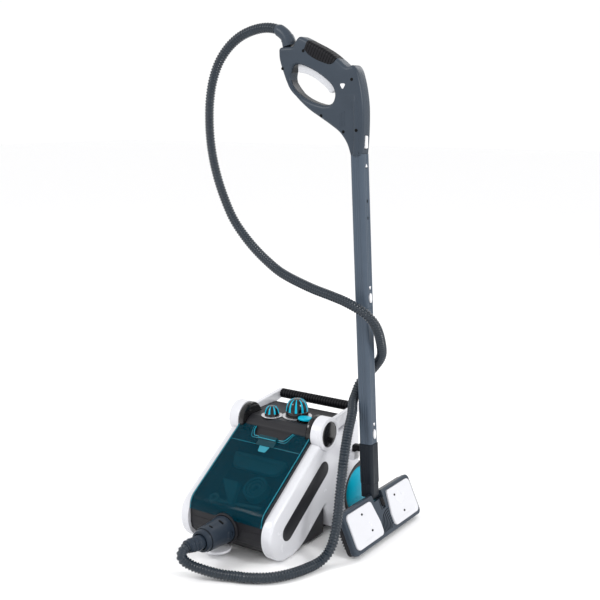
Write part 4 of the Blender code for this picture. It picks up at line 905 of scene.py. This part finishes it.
def makeGun():
    skin, loop = smoothOutline(gun["skin"]), smoothOutline(gun["loop"])
    seam = gun["seam"]
    shell = grown("XZ", gun["front"], gun["back"], skin, loop, edge=gun["edge"], bend=5)
    bulge = sweptTube(smoothLine([(0.137, seam, 1.01), (0.1475, seam, 0.985),
                                  (0.154, seam, 0.955), (0.1572, seam, 0.915),
                                  (0.1578, seam, 0.88), (0.156, seam, 0.844)], 6),
                      lambda gone: 0.008 + 0.0055 * min(gone / 0.06, 1.0), 32)
    moved(bulge, shift((0, seam, 0)) @ Matrix.Diagonal((1, 1.52, 1, 1)) @ shift((0, -seam, 0)))
    cut(shell, bulge, "UNION")
    cut(shell, seamPlate(0.0068, smoothOutline(gun["pocket"])))
    seat = [p + Vector((0.0075, 0)) for p in smoothOutline(gun["grip"])]
    cut(shell, seamPlate(0.04, seat))
    (x, z), size = gun["lock"], gun["lockSize"]
    lockLine = outline([(x + size * math.cos(a), z + size * math.sin(a), 0.0026)
                        for a in (math.radians(150), math.radians(270), math.radians(30))])
    cut(shell, seamPlate(0.03, shrunk(lockLine, 1.06)))
    cut(shell, block((0.1618, seam - 0.0054, 0.8572), (0.18, seam + 0.0054, 0.8868)))
    for k in range(4):
        cut(shell, rod("Z", (0.1175 + 0.0038 * k, gun["front"] - 0.0008, 0.915 + 0.002 * k),
                       0.0013, 0.03, count=12))
    back = copyOf(shell, Matrix.Identity(4))
    cut(shell, block((-0.1, seam - 0.00015, 0.8), (0.25, seam + 0.06, 1.15)))
    cut(back, block((-0.1, seam - 0.06, 0.8), (0.25, seam + 0.00015, 1.15)))
    finishPiece(shell, "gunShellFront", "wand", "wandSatin", node="gun_shell_front", angle=32)
    finishPiece(back, "gunShellBack", "wand", "wandSatin", node="gun_shell_back", angle=32)
    # painted shade: a darker band lining the lower part of the loop's inner wall, for the shade
    # there
    loopShade = seamPlate(0.0108, shrunk(loop, 0.9985), shrunk(loop, 0.984))
    cut(loopShade, seamPlate(0.03, outline((
        (-0.02, 1.005, 0), (0.1, 0.956, 0), (0.16, 1.0, 0), (0.05, 1.1, 0)))))
    finishPiece(loopShade, "loopShadeBand", "wand", "neckSatin")
    # painted shade: near-black dots for the shade inside the screw holes
    dots = join([rod("Y", (x, gun["front"] + (0.0021 if x < 0.15 else -0.0004), z), 0.0034,
                     0.005, 0.0003, 20) for x, z in gun["screws"]])
    finishPiece(dots, "gunScrews", "wand", "paintedGapShade")

    insert = grown("XZ", gun["front"] - 0.0006, gun["back"] + 0.0006, skin, edge=gun["edge"])
    cut(insert, seamPlate(0.04, shrunk(seat, 0.992)), "INTERSECT")
    core = copyOf(insert, shift((0.062, seam, 1.058)) @ Matrix.Scale(0.955, 4)
                  @ shift((-0.062, -seam, -1.058)))
    for k in range(14):
        at = shift((0.0305 + 0.0062 * k, seam, 1.078 - 0.003 * k))
        cut(insert, moved(block((-0.0007, -0.03, -0.06), (0.0007, 0.03, 0.06)),
                          at @ Matrix.Rotation(math.radians(26), 4, "Y")))
    finishPiece(join([insert, core]), "gripInsert", "wand", "gripRubber",
                node="grip_insert", angle=32)

    trigger = seamPlate(0.006, smoothOutline(gun["trigger"]), edge=0.0018)
    finishPiece(trigger, "triggerLever", "trigger", "triggerGrey", node="trigger", angle=35)
    lock = grown("XZ", gun["front"] - 0.0013, gun["back"] - 0.003, lockLine, edge=0.0009)
    finishPiece(lock, "triggerLock", "trigger_lock", "buttonWhite",
                node="trigger_lock", angle=35)
    key = block((0.1652, seam - 0.0048, 0.8584), (0.175, seam + 0.0048, 0.8857), 0.003, 5)
    finishPiece(key, "gunButton", "gun_button", "buttonWhite",
                node="gun_button", angle=35)
    print("gun: shells, grip, trigger and buttons")


tube = {"side": 0.0315, "neck": 0.0345, "neckEnd": 0.1218, "joint": 0.427, "top": 0.7575}


# a rounded square with three shallow flutes in each side
def fluted(side, corner, depth=0.0007):
    half, line = side / 2, []
    for quarter in range(4):
        turn = Matrix.Rotation(quarter * math.pi / 2, 2)
        flat = half - corner
        for k in range(33):
            along = -flat + 2 * flat * k / 32
            dip = depth * max(0.0, math.cos(2 * math.pi * along / 0.0052)) \
                if abs(along) < 0.0066 else 0.0
            line.append(turn @ Vector((half - dip, along)))
        for k in range(1, 8):
            angle = math.pi / 2 * k / 8
            line.append(turn @ Vector((flat + corner * math.cos(angle),
                                       flat + corner * math.sin(angle))))
    return line


def makeTubes():
    spans = (("lowerTube", "lower_tube", tube["neckEnd"] + 0.0004, tube["joint"] - 0.0002),
             ("upperTube", "upper_tube", tube["joint"] + 0.0004, tube["top"]))
    for name, node, low, high in spans:
        piece = slab("XY", low, high, fluted(tube["side"], 0.0072))
        z = low + 0.0216
        cut(piece, slab("YZ", tube["side"] / 2 - 0.005, 0.03, oval(0, z, 0.0051, 0.0116)))
        finishPiece(piece, name, "wand", "tubeSatin", base="wand", node=node, angle=24)
        key = grown("YZ", tube["side"] / 2 - 0.0028, tube["side"] / 2 + 0.0026,
                    oval(0, z, 0.0045, 0.011), edge=0.0016)
        finishPiece(key, name + "Button", node + "_button", "buttonWhite",
                    base="wand", node=node + "_button", angle=35)
    face = tube["side"] / 2
    marks, shades = [], []
    for z, sign in ((0.733, -1), (tube["joint"] + 0.044, 1), (tube["joint"] - 0.016, -1),
                    (tube["neckEnd"] + 0.044, 1)):
        arrow = outline(((-0.0042, z + sign * 0.0035, 0.0008), (0.0042, z + sign * 0.0035, 0.0008),
                         (0, z - sign * 0.0045, 0.0008)))
        marks.append(grown("YZ", face - 0.0004, face + 0.0004, arrow, edge=0.0002))
        # painted shadow: a near-black copy of each arrow, set just below it, for the arrow's cast
        # shadow
        shadow = [p + Vector((0, -0.0018)) for p in arrow]
        shades.append(slab("YZ", face - 0.0004, face + 0.0002, shadow))
    for z in (0.658, 0.622):
        shades.append(grown("YZ", face - 0.0004, face + 0.0004,
                            oval(0, z, 0.0018, 0.0034, 20), edge=0.0002))
    finishPiece(join(marks), "tubeArrows", "wand", "buttonWhite", base="wand")
    finishPiece(join(shades), "tubeArrowShadowsAndDots", "wand", "paintedGapShade", base="wand")
    neck = slab("XY", 0.03, tube["neckEnd"] - 0.0002, fluted(tube["neck"], 0.008, 0.0005))
    softenEdges(neck, 0.0012, 2, 60)
    finishPiece(neck, "wandNeck", "wand", "neckSatin", base="wand",
                node="wand_neck", angle=24)
    arm = block((0.15, 0.2335, 0.1884), (0.179, 0.2465, 0.2016), 0.0015)
    tongue = block((0.1484, 0.2339, 0.1704), (0.1541, 0.2461, 0.1986), 0.0012)
    finishPiece(join([arm, tongue]), "parkingHook", "wand", "gripRubber")
    socket = block((0.1229, 0.2284, 0.1664), (0.1586, 0.2516, 0.1856), 0.0035)
    cut(socket, block((0.1468, 0.2323, 0.168), (0.156, 0.2477, 0.21)))
    finishPiece(socket, "parkingSocket", "canister", "whiteGloss", node="parking_socket", angle=35)
    print("wand: tubes, neck and hook")


# floor head

head = {"half": 0.146, "height": 0.097, "face": 0.014, "back": 0.024,
        "dots": ((-0.0836, -0.0232), (-0.0661, -0.0653), (0.0586, -0.0256), (0.0761, -0.0685))}


def headRim(inset, radius=0.012):
    half, low = head["half"] - inset, inset - head["height"]
    return outline(((half, -inset, radius), (-half, -inset, radius), (-half, low, radius),
                    (half, low, radius)))


def flapLine(sign, grow=0.0):
    inner, outer = 0.025 - grow, 0.137 + grow
    top, bottom = -0.008 + grow, -0.088 - grow
    corners = [(sign * outer, top, 0.011), (sign * (inner + 0.011), top, 0.008),
               (sign * inner, -0.06, 0.03), (sign * (inner + 0.001), bottom, 0.01),
               (sign * outer, bottom, 0.012)]
    return outline(corners if sign > 0 else corners[::-1])


def makeHead():
    shell = grown("YZ", -head["face"], 0, headRim(0), edge=0.0036, bend=4)
    notch = ((-0.05, -0.0205, -0.0165), (0.0015, 0.0205, 0.02))
    cut(shell, block(*notch))
    for sign in (-1, 1):
        cut(shell, slab("YZ", -0.006, 0.02, flapLine(sign, 0.0006)))
    cut(shell, block((-0.004, 0.003, -0.04), (0.01, 0.017, -0.016)))
    finishPiece(shell, "headShell", "head", "wandSatin", base="head", node="head_shell", angle=32)
    knuckle = slab("XY", -0.001, 0.0297, fluted(0.0325, 0.008, 0.0003), edge=0.0008)
    toHead = axes["wand"].inverted() @ axes["head"]
    barrel = moved(rod("Y", (-0.012, 0, -0.006), 0.008, 0.04, 0.001), toHead)
    finishPiece(join([knuckle, barrel]), "headKnuckle", "swivel", "neckSatin",
                base="wand", node="head_knuckle", angle=30)
    base = grown("YZ", -head["back"], -head["face"] - 0.0003, headRim(0.0015), edge=0.0015)
    cut(base, block(*notch))
    finishPiece(base, "headBase", "head", "charcoalSatin", base="head", node="head_base", angle=32)
    for sign, name in ((-1, "Left"), (1, "Right")):
        tag = "flap_" + name.lower()
        flap = grown("YZ", -0.0057, 0.0041, flapLine(sign), edge=0.0026, bend=4)
        finishPiece(flap, "flap" + name, tag, "whiteGloss", base="head", node=tag, angle=32)
        # painted shade: near-black dots for the shade inside the flaps' screw holes
        spots = [grown("YZ", 0.0036, 0.0044, oval(y, z, 0.0036, 0.0025, 24), edge=0.0002)
                 for y, z in head["dots"] if y * sign > 0]
        finishPiece(join(spots), "flapScrews" + name, tag, "paintedGapShade", base="head")
        lowLine = sweptTube([Vector((0.0041, sign * y, -0.0775)) for y in (0.062, 0.08, 0.105)],
                            lambda gone: 0.0003, 6)
        finishPiece(lowLine, "flapLine" + name, tag, "triggerGrey", base="head")
    slider = block((-0.0036, 0.0036, -0.034), (0.0016, 0.0164, -0.0166), 0.0006)
    ribs = [block((0.001, 0.0042, z), (0.0024, 0.0158, z + 0.0011), 0.0004, 2)
            for z in (-0.033 + 0.0024 * k for k in range(7))]
    finishPiece(join([slider, *ribs]), "headSlider", "head_slider", "gripRubber",
                base="head", node="head_slider", angle=35)
    # painted shade: near-black lines for the shade inside the head's slot and arced grooves
    dark = [block((-0.001, -0.0016, -0.041), (0.0002, 0.0002, -0.018), 0.0002)]
    for k in range(7):
        radius, arc = 0.009 + 0.0054 * k, []
        for step in range(17):
            angle = math.pi / 2 * (1 + step / 16)
            y = 0.0215 + radius * math.cos(angle)
            z = -0.087 + radius * 1.02 * math.sin(angle)
            if y > -0.0212:
                arc.append(Vector((-0.0003, y, z)))
        dark.append(sweptTube(arc, lambda gone: 0.001, 8))
    finishPiece(join(dark), "headGrooves", "head", "paintedGapShade", base="head")

    tufts = []
    pattern = rod("X", (0, 0, 0), 0.0019, 0.0126, count=7)
    for inset in (0.017, 0.0215, 0.026):
        rim = [Vector((0, p.x, p.y)) for p in headRim(inset, 0.006)]
        ring, _ = spaced([*rim, rim[0]], 96)
        for place in ring[:-1]:
            place += Vector((-head["back"] - 0.0066, 0, 0))
            tufts.append(copyOf(pattern, shift(place)))
    bpy.data.objects.remove(pattern, do_unlink=True)
    finishPiece(join(tufts), "headBristles", "head", "bristles", base="head",
                node="bristle_field", angle=60)
    print("head: shell, flaps, slider and bristles")


makeFinishes()
paintNodes()
makeCamera()
makeStage()
makeHose()
makePanels()
makeKnobs()
makeHandle()
makeLid()
makeTools()
makePlug()
makeWheels()
makeGun()
makeTubes()
makeHead()
